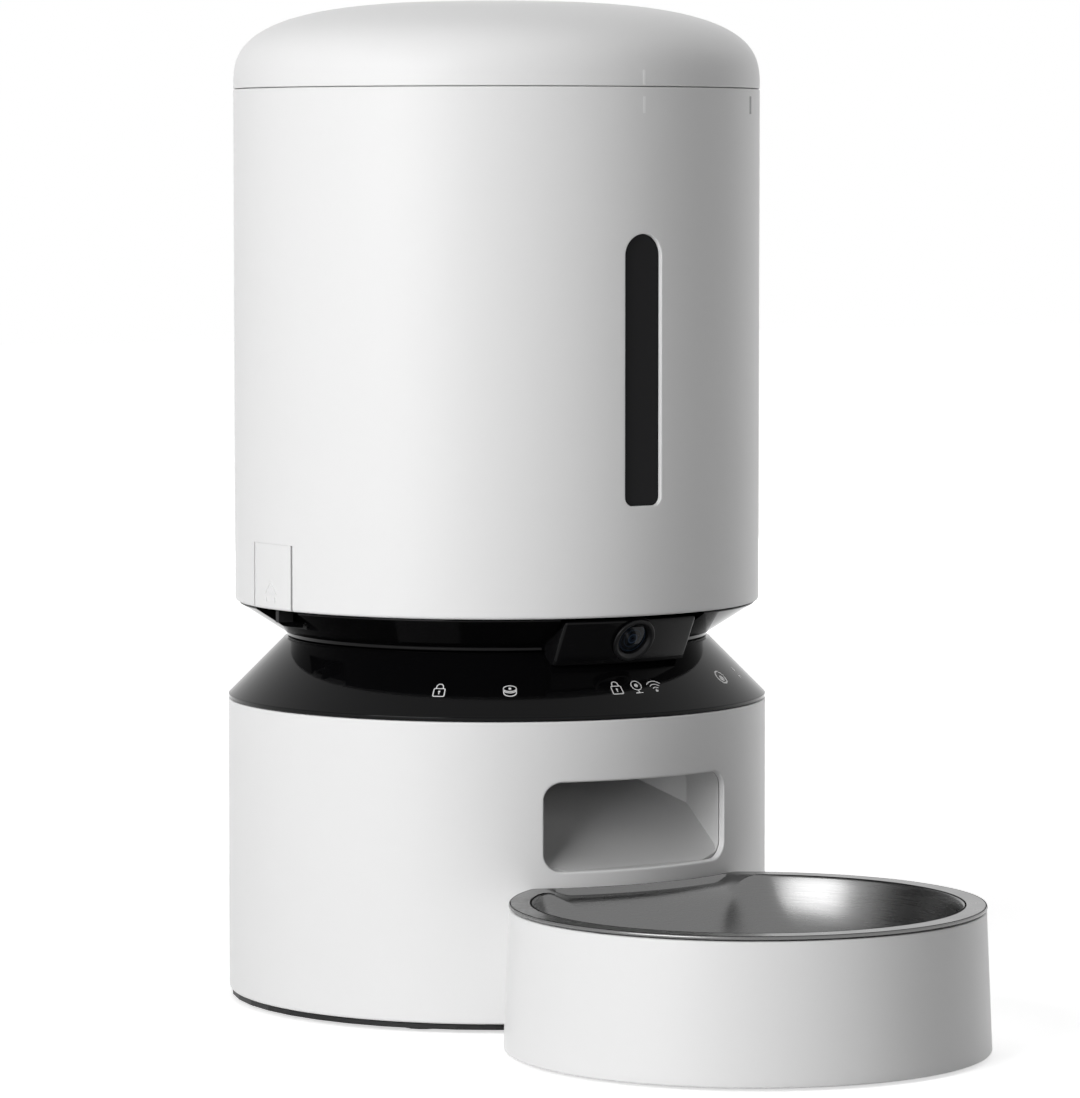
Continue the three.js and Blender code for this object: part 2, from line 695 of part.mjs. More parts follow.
// The hole that food drops through, wider toward the front. The deck's is larger by grow.
function dropHole(grow, low, high) {
  const spread = Math.tan(THREE.MathUtils.degToRad(DROP_HALF_DEG));
  const lean = Math.sqrt(1 + spread ** 2);
  const [back, front] = [DROP_IN - grow, dropOut + grow];
  const [backHalf, frontHalf] = [back, front].map((y) => y * spread + grow * lean);
  const outline = [[-backHalf, -back], [-frontHalf, -front], [frontHalf, -front], [backHalf, -back]];
  return prismZ(outline.map(([x, y]) => new THREE.Vector2(x, y)), low, high);
}

// The black cone, with its neck lip, the well inside it and the deck across the well.
function shoulderCover() {
  const innerZ = (r) => coneZ(r) - COVER_WALL * coneLean;
  const wellOut = wellR + WELL_WALL;
  const made = revolve([
    [0, deckLow],
    [wellOut, deckLow],
    [wellOut, innerZ(wellOut)],
    [skirtIn, innerZ(skirtIn)],
    [skirtIn, coverLow - COVER_SPIGOT],
    [spigotR, coverLow - COVER_SPIGOT],
    [spigotR, coverLow],
    [BASE_R, coverLow],
    [BASE_R, coneLow - COVER_CORNER],
    [BASE_R - COVER_CORNER, coneZ(BASE_R - COVER_CORNER)],
    [neckR, coneZ(neckR)],
    [neckR - NECK_ROUND / 3, neckTop - NECK_ROUND / 3],
    [neckR - NECK_ROUND, neckTop],
    [wellR, neckTop],
    [wellR, DECK_TOP],
    [0, DECK_TOP],
  ]);
  const drop = dropHole(DROP_STEP, deckLow - OVERRUN, DECK_TOP + OVERRUN);
  return made
    .subtract(drop)
    .subtract(upright(SHAFT_HOLE_R, 0, 0, deckLow - OVERRUN, DECK_TOP + OVERRUN));
}

// The touch board, a strip of cone under the cover's icons.
function touchBoard() {
  const top = (r) => coneZ(r) - (COVER_WALL + SEAT_GAP) * coneLean;
  const low = (r) => top(r) - FILM_THICK * coneLean;
  const strip = revolve([
    [filmIn, low(filmIn)],
    [filmOut, low(filmOut)],
    [filmOut, top(filmOut)],
    [filmIn, top(filmIn)],
  ]);
  return strip.intersect(sector(filmIn / 2, BASE_R, FRONT_DEG, FILM_HALF_DEG, 0, TANK_LOW));
}

// Where the lens sits on the camera block's sloping face, and how that face is tilted.
const faceLow = CAMERA_LOW + CAMERA_CHAMFER;
const faceTilt = Math.atan2(cameraTopR - cameraFaceR, CAMERA_TOP - faceLow);
const lens = new THREE.Group();
lens.position.set(0, -(cameraTopR + cameraFaceR) / 2, (CAMERA_TOP + faceLow) / 2);
lens.rotation.x = Math.PI / 2 + faceTilt;
lens.updateMatrix();
base.add(lens);

// The black block that overhangs the cone, with the lens's stepped hole and a cavity behind.
function cameraHousing() {
  const coneGap = SEAT_GAP * coneLean;
  const coneMeetR = BASE_R - (CAMERA_LOW - coneGap - coneLow) / coneSlope;
  const round = revolve([
    [cameraBackR, coneZ(cameraBackR) + coneGap],
    [coneMeetR, CAMERA_LOW],
    [cameraLowR, CAMERA_LOW],
    [cameraFaceR, faceLow],
    [cameraTopR, CAMERA_TOP],
    [cameraBackR, CAMERA_TOP],
  ]);
  const cut = box(-CAMERA_HALF, CAMERA_HALF, -cameraTopR - OVERRUN, 0, 0, TANK_LOW);
  const bodyR = LENS_RING_R - LENS_RING_STEP + SEAT_GAP;
  const profile = [
    [0, -LENS_RING_R],
    [BARREL_R + SEAT_GAP, -LENS_RING_R],
    [BARREL_R + SEAT_GAP, -LENS_RING_DEEP - SEAT_GAP],
    [bodyR, -LENS_RING_DEEP - SEAT_GAP],
    [bodyR, LENS_RING_R],
    [0, LENS_RING_R],
  ].map(([r, z]) => new THREE.Vector2(r, z));
  const hole = new THREE.LatheGeometry(profile, SMALL_ROUND).rotateX(Math.PI / 2);
  const cavity = box(
    -CAVITY_HALF, CAVITY_HALF,
    -cameraBackR - CAVITY_DEEP, -cameraBackR + OVERRUN,
    CAVITY_LOW, CAVITY_HIGH,
  );
  return round.intersect(cut).subtract(solid(hole.applyMatrix4(lens.matrix))).subtract(cavity);
}

function lensRing() {
  const bodyR = LENS_RING_R - LENS_RING_STEP;
  const innerR = bodyR - LENS_RING_WALL;
  return revolve(
    [
      [innerR, -LENS_RING_DEEP],
      [bodyR, -LENS_RING_DEEP],
      [bodyR, SEAT_GAP],
      [LENS_RING_R, SEAT_GAP],
      [LENS_RING_R, LENS_RING_PROUD],
      [LENS_RING_R - SEAT_GAP, LENS_RING_PROUD + SEAT_GAP],
      [bodyR - SEAT_GAP, LENS_RING_PROUD + SEAT_GAP],
      [innerR, SEAT_GAP],
    ],
    SMALL_ROUND,
  );
}

function lensGlass() {
  return revolve(
    [
      [0, -GLASS_THICK],
      [GLASS_R, -GLASS_THICK],
      [GLASS_R, -GLASS_SINK - GLASS_CROWN],
      [(GLASS_R * 2) / 3, -GLASS_SINK - GLASS_CROWN / 3],
      [GLASS_R / 3, -GLASS_SINK],
      [0, -GLASS_SINK],
    ],
    SMALL_ROUND,
  );
}

function addBase() {
  place(base, "base_shell", baseShell(), white);
  place(base, "base_plate", basePlate(), mattBlack);
  const foot = shown(disc(FOOT_R, 0, footTop, SMALL_ROUND));
  const names = ["front_left_foot", "front_right_foot", "rear_left_foot", "rear_right_foot"];
  footPlaces().forEach(([x, y], i) => {
    place(base, names[i], foot, rubber).position.set(x, y, 0);
  });
  place(base, "battery_box", batteryBox(), mattBlack);
  const stripHalf = bayHalf - STRIP_END_GAP;
  const stripLow = bayTop - STRIP_TALL - SEAT_GAP;
  const strip = shown(box(-stripHalf, stripHalf, 0, STRIP_THICK, stripLow, bayTop - SEAT_GAP));
  place(base, "front_contact_strip", strip, steel).position.y = BAY_FRONT + SEAT_GAP;
  place(base, "rear_contact_strip", strip, steel).position.y = bayBack - SEAT_GAP - STRIP_THICK;
  const door = box(
    -bayHalf + DOOR_GAP, bayHalf - DOOR_GAP,
    BAY_FRONT + DOOR_GAP, bayBack - DOOR_GAP,
    PLATE_LOW, PLATE_LOW + DOOR_THICK,
  );
  place(base, "battery_door", door, mattBlack);
  const speakerLow = plateTop + SEAT_GAP;
  const speaker = disc(SPEAKER_R, speakerLow, speakerLow + SPEAKER_TALL, SMALL_ROUND);
  place(base, "speaker", speaker, mattBlack).position.y = speakerY;
  const board = box(
    -boardHalf, boardHalf, boardFront, boardBack, boardLow, boardLow + BOARD_THICK,
  );
  place(base, "control_board", board, boardGreen);
  place(base, "gearbox", gearbox(), mattBlack);
  const motor = disc(MOTOR_R, motorTop - MOTOR_TALL, motorTop, SMALL_ROUND).add(
    disc(MOTOR_CAN_R, motorTop - MOTOR_TALL - MOTOR_CAN_TALL, motorTop, SMALL_ROUND),
  );
  place(base, "drive_motor", motor, steel).position.set(MOTOR_X, MOTOR_Y, 0);
  place(base, "drive_coupling", driveCoupling(), white);
  place(base, "power_inlet", powerInlet(), mattBlack);
  place(base, "food_chute", chute(), chuteGrey);
  place(base, "shoulder_cover", shoulderCover(), glossBlack);
  place(base, "touch_board", touchBoard(), boardGreen);
  place(base, "camera_housing", cameraHousing(), glossBlack);
  place(lens, "lens_ring", lensRing(), mattBlack);
  place(lens, "lens_glass", lensGlass(), glass);
  const barrelTop = -GLASS_THICK - SEAT_GAP;
  const barrel = disc(BARREL_R, barrelTop - BARREL_LONG, barrelTop, SMALL_ROUND);
  place(lens, "camera_barrel", barrel, mattBlack);
  const cameraBoardBack = -cameraBackR - SEAT_GAP;
  const cameraBoard = box(
    -CAMERA_BOARD_HALF, CAMERA_BOARD_HALF,
    cameraBoardBack - CAMERA_BOARD_THICK, cameraBoardBack,
    CAVITY_LOW + SEAT_GAP, CAVITY_HIGH - SEAT_GAP,
  );
  place(base, "camera_board", cameraBoard, boardGreen);
}

const ledgeDeg = TURN_DEG / LUGS - LUG_ENTRY_DEG;

// The tank's wall, with the window's slot, gaps for the release tabs and the lid's ledges.
function tankShell() {
  let made = revolve([
    [tankIn, TANK_LOW],
    [TANK_R - TANK_LOW_ROUND, TANK_LOW],
    [TANK_R - TANK_LOW_ROUND / 3, TANK_LOW + TANK_LOW_ROUND / 3],
    [TANK_R, TANK_LOW + TANK_LOW_ROUND],
    [TANK_R, TANK_TOP - TANK_TOP_EDGE],
    [TANK_R - TANK_TOP_EDGE, TANK_TOP],
    [tankIn, TANK_TOP],
  ]);
  for (let i = 0; i < LUGS; i++) {
    const middle = LUG_FIRST_DEG + ((i + 1 / 2) * TURN_DEG) / LUGS;
    made = made.add(
      sector(
        tankIn - LEDGE_WIDE, tankIn + TANK_WALL / 2, middle, ledgeDeg / 2,
        ledgeLow, ledgeLow + LEDGE_THICK,
      ),
    );
  }
  const gapHalf = TAB_HALF + TAB_SLIT;
  const gaps = box(
    -TANK_R - OVERRUN, TANK_R + OVERRUN, -gapHalf, gapHalf, TANK_LOW - OVERRUN, TAB_TOP + SEAT_GAP,
  );
  return made.subtract(prismY(windowShape(0), -TANK_R - OVERRUN, 0)).subtract(gaps);
}

function windowShape(grow) {
  const half = WINDOW_HALF + grow;
  return roundedRect(-half, windowLow - grow, half, windowHigh + grow, WINDOW_CORNER + grow, half);
}

// The dark window: a pane that fills the slot and a flange behind the wall.
function tankWindow() {
  const low = windowLow - WINDOW_FLANGE - OVERRUN;
  const high = windowHigh + WINDOW_FLANGE + OVERRUN;
  const flange = ring(funnelR - WINDOW_FLANGE_THICK, funnelR, low, high);
  const pane = ring(funnelR - WINDOW_FLANGE_THICK, TANK_R - WINDOW_SINK, low, high);
  const made = flange
    .intersect(prismY(windowShape(WINDOW_FLANGE), -TANK_R, 0))
    .add(pane.intersect(prismY(windowShape(-SEAT_GAP), -TANK_R, 0)));
  return made;
}

// The rotor's chamber: a cup that plugs into the well, with the drop hole in its floor.
function rotorChamber() {
  const cup = revolve([
    [0, plugLow],
    [plugR, plugLow],
    [plugR, CHAMBER_SPLIT],
    [chamberR, CHAMBER_SPLIT],
    [chamberR, chamberFloor],
    [0, chamberFloor],
  ], INNER_ROUND);
  return cup
    .subtract(dropHole(0, plugLow - OVERRUN, chamberFloor + OVERRUN))
    .subtract(upright(SHAFT_HOLE_R, 0, 0, plugLow - OVERRUN, chamberFloor + OVERRUN));
}

// The black funnel: a food cone on a collar that carries the chamber, and the outer cone that
// runs out to the tank's lower edge.
function tankFunnel() {
  const outerZ = TANK_LOW - SEAT_GAP;
  const rise = (outerZ - FUNNEL_OUT_DROP - FUNNEL_LOW) / (funnelOutR - funnelLowR);
  const wallUp = FUNNEL_WALL * Math.sqrt(1 + rise ** 2);
  const upperZ = (r) => FUNNEL_LOW + (r - funnelLowR) * rise + wallUp;
  const spigotIn = funnelR - FUNNEL_SPIGOT_WALL;
  const throatR = chamberR + CHAMBER_LEDGE;
  const throatZ = CHAMBER_TOP + CHAMBER_LEDGE_TALL;
  const steep = (FUNNEL_TOP - throatZ) / (funnelR - FUNNEL_LIP - throatR);
  const wallOut = FUNNEL_WALL * Math.sqrt(1 + 1 / steep ** 2);
  const made = revolve([
    [chamberR, CHAMBER_SPLIT + SEAT_GAP],
    [plugR, CHAMBER_SPLIT + SEAT_GAP],
    [plugR, FUNNEL_LOW - FUNNEL_BEAD],
    [funnelLowR - FUNNEL_BEAD, FUNNEL_LOW - FUNNEL_BEAD],
    [funnelLowR, FUNNEL_LOW],
    [funnelOutR, outerZ - FUNNEL_OUT_DROP],
    [funnelOutR, outerZ],
    [funnelR, outerZ],
    [funnelR, outerZ + FUNNEL_SPIGOT],
    [spigotIn, outerZ + FUNNEL_SPIGOT],
    [spigotIn, upperZ(spigotIn)],
    [crotchR, upperZ(crotchR)],
    [crotchR, throatZ + (crotchR - wallOut - throatR) * steep],
    [funnelR, throatZ + (funnelR - wallOut - throatR) * steep],
    [funnelR, FUNNEL_TOP],
    [funnelR - FUNNEL_LIP, FUNNEL_TOP],
    [throatR, throatZ],
    [throatR, CHAMBER_TOP],
    [chamberR, CHAMBER_TOP],
  ], INNER_ROUND);
  const notchHalf = CAMERA_HALF + RUN_GAP;
  const notch = ring(cameraBackR - RUN_GAP, TANK_R, FUNNEL_LOW - FUNNEL_BEAD, outerZ).intersect(
    box(-notchHalf, notchHalf, -TANK_R, 0, 0, TANK_TOP),
  );
  const pocketHalf = TAB_HALF + TAB_SLIT;
  const pocketIn = prongIn - TAB_TRAVEL - OVERRUN;
  const pocketTop = outerZ + FUNNEL_SPIGOT + OVERRUN;
  const right = box(pocketIn, TANK_R, -pocketHalf, pocketHalf, POCKET_FLOOR, pocketTop);
  const left = box(-TANK_R, -pocketIn, -pocketHalf, pocketHalf, POCKET_FLOOR, pocketTop);
  return made.subtract(notch).subtract(right).subtract(left);
}

// A release tab: a piece of the tank's wall between two slits, with a prong behind its foot.
function releaseTab() {
  const wall = revolve([
    [tankIn, TANK_LOW],
    [TANK_R - TANK_LOW_ROUND, TANK_LOW],
    [TANK_R - TANK_LOW_ROUND / 3, TANK_LOW + TANK_LOW_ROUND / 3],
    [TANK_R, TANK_LOW + TANK_LOW_ROUND],
    [TANK_R, TAB_TOP],
    [tankIn, TAB_TOP],
  ]);
  const panel = wall.intersect(box(0, TANK_R + OVERRUN, -TAB_HALF, TAB_HALF, 0, TANK_TOP));
  const prong = box(
    prongIn, tankIn + TANK_WALL / 2, -PRONG_HALF, PRONG_HALF, PRONG_LOW, PRONG_TOP,
  );
  const trim = box(tankIn, TANK_R, -PRONG_HALF - OVERRUN, PRONG_HALF + OVERRUN, 0, TANK_LOW);
  return panel.add(prong.subtract(trim));
}

// The rotor: a hub with vanes that sweep food to the drop hole, and a hexagonal socket below.
function feedRotor() {
  const tip = chamberR - VANE_WALL_GAP;
  const tipTop = rotorLow + VANE_TIP_TALL;
  const top = rotorLow + VANE_TALL;
  let made = disc(HUB_R, rotorLow, rotorTop, SMALL_ROUND);
  for (let i = 0; i < VANES; i++) {
    const vane = prismX(
      [[0, rotorLow], [tip, rotorLow], [tip, tipTop], [HUB_R, top], [0, top]],
      -VANE_THICK / 2, VANE_THICK / 2,
    );
    made = made.add(vane.rotate([0, 0, ((i + 1 / 2) * TURN_DEG) / VANES]));
  }
  const socket = prismZ(
    hexagon(HEX_FLAT + 2 * SEAT_GAP), rotorLow - OVERRUN, rotorLow + HEX_TALL + SEAT_GAP,
  );
  return made.subtract(socket);
}

// The stirrer: a cone on the rotor's hub with fingers that keep food moving.
function stirrer() {
  const low = rotorTop + SEAT_GAP;
  let made = revolve(
    [
      [0, low],
      [STIRRER_R, low],
      [STIRRER_R, low + STIRRER_SKIRT],
      [STIRRER_TIP_R, low + STIRRER_TALL],
      [0, low + STIRRER_TALL + STIRRER_TIP_R / 2],
    ],
    SMALL_ROUND,
  );
  const middle = low + FINGER_RISE;
  for (let i = 0; i < FINGERS; i++) {
    const angle = (i * 2 * Math.PI) / FINGERS;
    const tip = new THREE.Vector3(
      FINGER_LONG * Math.cos(angle), FINGER_LONG * Math.sin(angle), middle + FINGER_R,
    );
    made = made.add(rod(FINGER_R, new THREE.Vector3(0, 0, middle), tip, SMALL_ROUND / 2));
  }
  return made;
}

function addTank() {
  place(tank, "tank_shell", tankShell(), white);
  place(tank, "tank_funnel", tankFunnel(), glossBlack);
  place(tank, "rotor_chamber", rotorChamber(), glossBlack);
  place(tank, "tank_window", tankWindow(), smoked);
  const tab = shown(releaseTab());
  place(tank, "right_release_tab", tab, white);
  place(tank, "left_release_tab", tab, white).rotation.z = Math.PI;
  const baffleLow = CHAMBER_TOP + SEAT_GAP;
  const baffle = sector(
    BAFFLE_IN, chamberR + CHAMBER_LEDGE - SEAT_GAP, FRONT_DEG, BAFFLE_HALF_DEG,
    baffleLow, baffleLow + BAFFLE_THICK,
  );
  place(tank, "outlet_baffle", baffle, mattBlack);
  place(tank, "feed_rotor", feedRotor(), white);
  place(tank, "stirrer", stirrer(), white);
}

// Points of the lid's dome from its foot to its top, along a superellipse at equal turns.
function domePoints(radius, tall, steps) {
  return Array.from({ length: steps + 1 }, (_, i) => {
    if (i === steps) return [0, tall];
    const angle = (i / steps) * (Math.PI / 2);
    const [across, up] = [Math.cos(angle), Math.sin(angle)];
    const reach = (across ** LID_POWER + up ** LID_POWER) ** (-1 / LID_POWER);
    return [radius * across * reach, tall * up * reach];
  });
}

function lidShell() {
  const outer = domePoints(TANK_R, LID_TALL, DOME_STEPS);
  const inner = domePoints(TANK_R - LID_WALL, LID_TALL - LID_WALL, DOME_INNER_STEPS).reverse();
  return revolve([...outer, ...inner].reverse());
}

// The liner closes the dome below. Its ring carries the seal and the lugs that lock the lid.
function lidLiner() {
  const ringIn = linerRingR - LINER_RING_WALL;
  const beadR = linerRingR + LINER_BEAD;
  const edge = TANK_R - LID_WALL - RUN_GAP;
  let made = revolve([
    [0, LINER_RISE],
    [ringIn, LINER_RISE],
    [ringIn, -LINER_RING_DEEP],
    [linerRingR, -LINER_RING_DEEP],
    [linerRingR, LINER_BEAD_Z - LINER_BEAD_HALF],
    [beadR, LINER_BEAD_Z - LINER_BEAD_HALF],
    [beadR, LINER_BEAD_Z + LINER_BEAD_HALF],
    [linerRingR, LINER_BEAD_Z + LINER_BEAD_HALF],
    [linerRingR, LINER_RISE],
    [edge, LINER_RISE],
    [edge, LINER_RISE + LINER_THICK],
    [0, LINER_RISE + LINER_THICK],
  ], INNER_ROUND);
  const lugTop = ledgeLow - RUN_GAP - lidLow;
  for (let i = 0; i < LUGS; i++) {
    const middle = LUG_FIRST_DEG + (i * TURN_DEG) / LUGS;
    const lug = sector(
      linerRingR - LINER_RING_WALL / 2, tankIn - LUG_GAP, middle, LUG_DEG / 2,
      lugTop - LUG_THICK, lugTop,
    );
    made = made.add(lug);
  }
  return made;
}

// The silicone seal, with two soft ribs round it.
function lidSeal() {
  const inner = linerRingR + RUN_GAP;
  const groove = funnelR - SEAL_GROOVE;
  const third = (SEAL_TOP - SEAL_LOW) / 6;
  return revolve([
    [inner, SEAL_LOW],
    [groove, SEAL_LOW],
    [funnelR, SEAL_LOW + third],
    [groove, SEAL_LOW + 2 * third],
    [groove, SEAL_TOP - 2 * third],
    [funnelR, SEAL_TOP - third],
    [groove, SEAL_TOP],
    [inner, SEAL_TOP],
  ], INNER_ROUND);
}

function desiccantBox() {
  const top = LINER_RISE - SEAT_GAP;
  const inner = DESICCANT_R - DESICCANT_WALL;
  return revolve(
    [
      [0, top - DESICCANT_WALL],
      [inner, top - DESICCANT_WALL],
      [inner, top - DESICCANT_TALL],
      [DESICCANT_R, top - DESICCANT_TALL],
      [DESICCANT_R, top],
      [0, top],
    ],
    INNER_ROUND,
  );
}

// The desiccant cap: a slotted disc with a plug that clips into the box.
function desiccantCap() {
  const top = LINER_RISE - SEAT_GAP - DESICCANT_TALL - SEAT_GAP;
  const low = top - DESICCANT_CAP_THICK;
  const plugOut = DESICCANT_R - DESICCANT_WALL - SEAT_GAP;
  const plugIn = plugOut - DESICCANT_WALL;
  let made = revolve(
    [
      [0, low],
      [DESICCANT_R + DESICCANT_CAP_STEP, low],
      [DESICCANT_R + DESICCANT_CAP_STEP, top],
      [plugOut, top],
      [plugOut, top + DESICCANT_PLUG_TALL],
      [plugIn, top + DESICCANT_PLUG_TALL],
      [plugIn, top],
      [0, top],
    ],
    INNER_ROUND,
  );
  for (let i = 0; i < DESICCANT_SLOTS; i++) {
    const slot = box(
      DESICCANT_SLOT_IN, DESICCANT_SLOT_OUT,
      -DESICCANT_SLOT_WIDE / 2, DESICCANT_SLOT_WIDE / 2,
      low - OVERRUN, top + OVERRUN,
    );
    made = made.subtract(slot.rotate([0, 0, (i * TURN_DEG) / DESICCANT_SLOTS]));
  }
  return made;
}

function addLid() {
  place(lid, "lid_shell", lidShell(), white);
  place(lid, "lid_liner", lidLiner(), white);
  place(lid, "lid_seal", lidSeal(), silicone);
  place(lid, "desiccant_box", desiccantBox(), white);
  place(lid, "desiccant_cap", desiccantCap(), white);
}

// A round about the bowl's axis with a bite cut by a circle about the base's axis. The two horns
// are rounded. The points run counterclockwise and are as many for every size.
function bittenRound(radius, bite, horn) {
  const toRound = radius - horn;
  const toBite = bite + horn;
  const hornY = -(BOWL_REACH ** 2 + toBite ** 2 - toRound ** 2) / (2 * BOWL_REACH);
  const hornX = Math.sqrt(toBite ** 2 - hornY ** 2);
  const outerAngle = Math.atan2(hornY + BOWL_REACH, hornX);
  const biteAngle = Math.atan2(hornY, hornX);
  const points = [];
  const arc = (x, y, r, from, to, steps) => {
    for (let i = 0; i < steps; i++) {
      const angle = from + ((to - from) * i) / steps;
      points.push(new THREE.Vector2(x + r * Math.cos(angle), y + r * Math.sin(angle)));
    }
  };
  arc(0, -BOWL_REACH, radius, Math.PI - outerAngle, 2 * Math.PI + outerAngle, INNER_ROUND);
  arc(hornX, hornY, horn, outerAngle, biteAngle + Math.PI, HORN_STEPS);
  arc(0, 0, bite, biteAngle, -Math.PI - biteAngle, BITE_STEPS);
  arc(-hornX, hornY, horn, -biteAngle, Math.PI - outerAngle, HORN_STEPS);
  return points;
}

// A skin carried through outlines that have the same number of points, closed at both ends.
function loft(outlines, heights) {
  const count = outlines[0].length;
  const places = [];
  const push = (level, i) => {
    const p = outlines[level][i % count];
    places.push(p.x, p.y, heights[level]);
  };
  for (let level = 0; level + 1 < outlines.length; level++) {
    for (let i = 0; i < count; i++) {
      push(level, i);
      push(level, i + 1);
      push(level + 1, i + 1);
      push(level, i);
      push(level + 1, i + 1);
      push(level + 1, i);
    }
  }
  const last = outlines.length - 1;
  for (const [p, q, r] of THREE.ShapeUtils.triangulateShape(outlines[0], [])) {
    push(0, r);
    push(0, q);
    push(0, p);
  }
  for (const [p, q, r] of THREE.ShapeUtils.triangulateShape(outlines[last], [])) {
    push(last, p);
    push(last, q);
    push(last, r);
  }
  const geometry = new THREE.BufferGeometry();
  geometry.setAttribute("position", new THREE.Float32BufferAttribute(places, 3));
  return solid(geometry);
}

// The bowl's body, shrinking toward its floor along a superellipse.
function bowlBody(radius, bite, horn, top, deep, levels) {
  const outline = bittenRound(radius, bite, horn);
  const heart = new THREE.Vector2(0, -BOWL_REACH - BOWL_HEART);
  const outlines = [];
  const heights = [];
  for (let i = levels; i >= 0; i--) {
    const t = (i / levels) * (Math.PI / 2) * (1 - 1 / (2 * levels));
    const share = Math.cos(t) ** (2 / BOWL_POWER);
    outlines.push(outline.map((p) => p.clone().sub(heart).multiplyScalar(share).add(heart)));
    heights.push(top - deep * Math.sin(t) ** (2 / BOWL_POWER));
  }
  return loft(outlines, heights);
}

// The steel bowl: a flat rim, sunk under the chute so that food slides in, and a pressed hollow.
function steelBowl() {
  const rimLow = RIM_TOP - RIM_THICK;
  const openBite = biteR + OPENING_BITE;
  const rim = prismZ(bittenRound(rimR, biteR, RIM_HORN), rimLow, RIM_TOP);
  const body = bowlBody(
    openingR + BOWL_WALL, openBite - BOWL_WALL, OPENING_HORN, rimLow + RIM_THICK / 2,
    BOWL_DEEP - RIM_THICK / 2 + BOWL_WALL, BOWL_LEVELS,
  );
  const hollow = bowlBody(openingR, openBite, OPENING_HORN, RIM_TOP, BOWL_DEEP, BOWL_LEVELS);
  const above = prismZ(
    bittenRound(openingR, openBite, OPENING_HORN), RIM_TOP - OVERRUN / 2, RIM_TOP + OVERRUN,
  );
  const scoopOut = openBite + OVERRUN;
  const shelfTop = RIM_TOP - RIM_THICK / 2;
  const shelfOut = scoopOut + BOWL_WALL;
  const shelf = sector(biteR, shelfOut, FRONT_DEG, shelfHalfDeg, spillLow, shelfTop).intersect(
    prismZ(bittenRound(rimR, biteR, RIM_HORN), spillLow - OVERRUN, RIM_TOP),
  );
  const scoop = sector(
    biteR + SPILL_EDGE, scoopOut, FRONT_DEG, SPILL_HALF_DEG,
    spillLow + RIM_THICK, RIM_TOP + OVERRUN,
  );
  return rim.add(body).add(shelf).subtract(hollow).subtract(above).subtract(scoop);
}

// The tray: a tapering cup with the same bite, tongues that hook under the base's shell, and
// recesses for its pads.
function bowlTray() {
  const outlines = [
    bittenRound(trayLowR, biteR, TRAY_HORN),
    bittenRound(trayTopR, biteR, TRAY_HORN),
  ];
  const cup = loft(outlines, [TRAY_LOW, TRAY_TOP]);
  const inner = bittenRound(trayTopR - TRAY_WALL, biteR + TRAY_WALL, TRAY_HORN);
  const hollow = prismZ(inner, TRAY_LOW + TRAY_FLOOR, TRAY_TOP + OVERRUN);
  const shelfGap = sector(
    biteR - OVERRUN, biteR + OPENING_BITE, FRONT_DEG, shelfHalfDeg + SHELF_GAP_DEG,
    spillLow - SEAT_GAP, TRAY_TOP + OVERRUN,
  );
  let made = cup.subtract(hollow).subtract(shelfGap);
  for (const side of [-1, 1]) {
    const x0 = Math.min(side * TONGUE_IN, side * TONGUE_OUT);
    const meetY = -Math.sqrt(biteR ** 2 - TONGUE_OUT ** 2);
    const tongue = box(
      x0, x0 + TONGUE_OUT - TONGUE_IN,
      meetY - TONGUE_ROOT, meetY + TONGUE_REACH,
      TONGUE_LOW, TONGUE_LOW + TONGUE_THICK,
    );
    made = made.add(tongue);
  }
  for (const [x, y] of padPlaces()) {
    made = made.subtract(
      upright(PAD_R + SEAT_GAP, x, y, TRAY_LOW - OVERRUN, TRAY_LOW + PAD_SINK + SEAT_GAP),
    );
  }
  return made;
}

function padPlaces() {
  return [[0, -BOWL_REACH - padSpread], [-padSpread, -BOWL_REACH], [padSpread, -BOWL_REACH]];
}

function addDish() {
  place(dish, "bowl_tray", bowlTray(), white);
  place(dish, "steel_bowl", steelBowl(), steel);
  const pad = shown(disc(PAD_R, 0, TRAY_LOW + PAD_SINK, SMALL_ROUND));
  const names = ["front_tray_pad", "left_tray_pad", "right_tray_pad"];
  padPlaces().forEach(([x, y], i) => {
    place(dish, names[i], pad, rubber).position.set(x, y, 0);
  });
}

addBase();
addTank();
addLid();
addDish();

export default feeder;
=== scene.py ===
"""Looks of a feeder for dry pet food: white shells, a gloss black waist, a camera, a steel bowl.

Shapes are written in millimetres about the base's upright axis and stored in metres.
"""
import bpy
import bmesh
import math
import numpy as np
from mathutils import Matrix, Vector


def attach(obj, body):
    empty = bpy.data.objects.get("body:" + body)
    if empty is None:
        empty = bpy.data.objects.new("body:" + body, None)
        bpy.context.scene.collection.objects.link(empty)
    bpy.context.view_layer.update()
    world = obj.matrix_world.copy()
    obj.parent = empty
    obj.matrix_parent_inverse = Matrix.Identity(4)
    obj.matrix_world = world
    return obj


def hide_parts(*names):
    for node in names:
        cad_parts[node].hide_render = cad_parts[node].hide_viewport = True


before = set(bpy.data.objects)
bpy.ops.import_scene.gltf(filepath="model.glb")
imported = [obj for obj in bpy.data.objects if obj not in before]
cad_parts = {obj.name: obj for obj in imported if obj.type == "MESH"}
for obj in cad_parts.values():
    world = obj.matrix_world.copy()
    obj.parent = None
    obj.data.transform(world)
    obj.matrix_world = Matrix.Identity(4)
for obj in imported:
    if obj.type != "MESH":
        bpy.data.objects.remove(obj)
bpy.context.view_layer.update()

MM = 0.001
AXIS_Y = 67.925  # from the frame's origin back to the base's axis
FULL = 2 * math.pi
QUARTER = math.pi / 2
MERGE_REACH = 2e-6  # corners closer than this, in metres, are one
SLIVER = 1e-7

LENS_PLACE = np.array([0, -83.4, 127.6])
LENS_TILT = math.atan2(7, 14)
GLASS_R = 5.3

# Camera

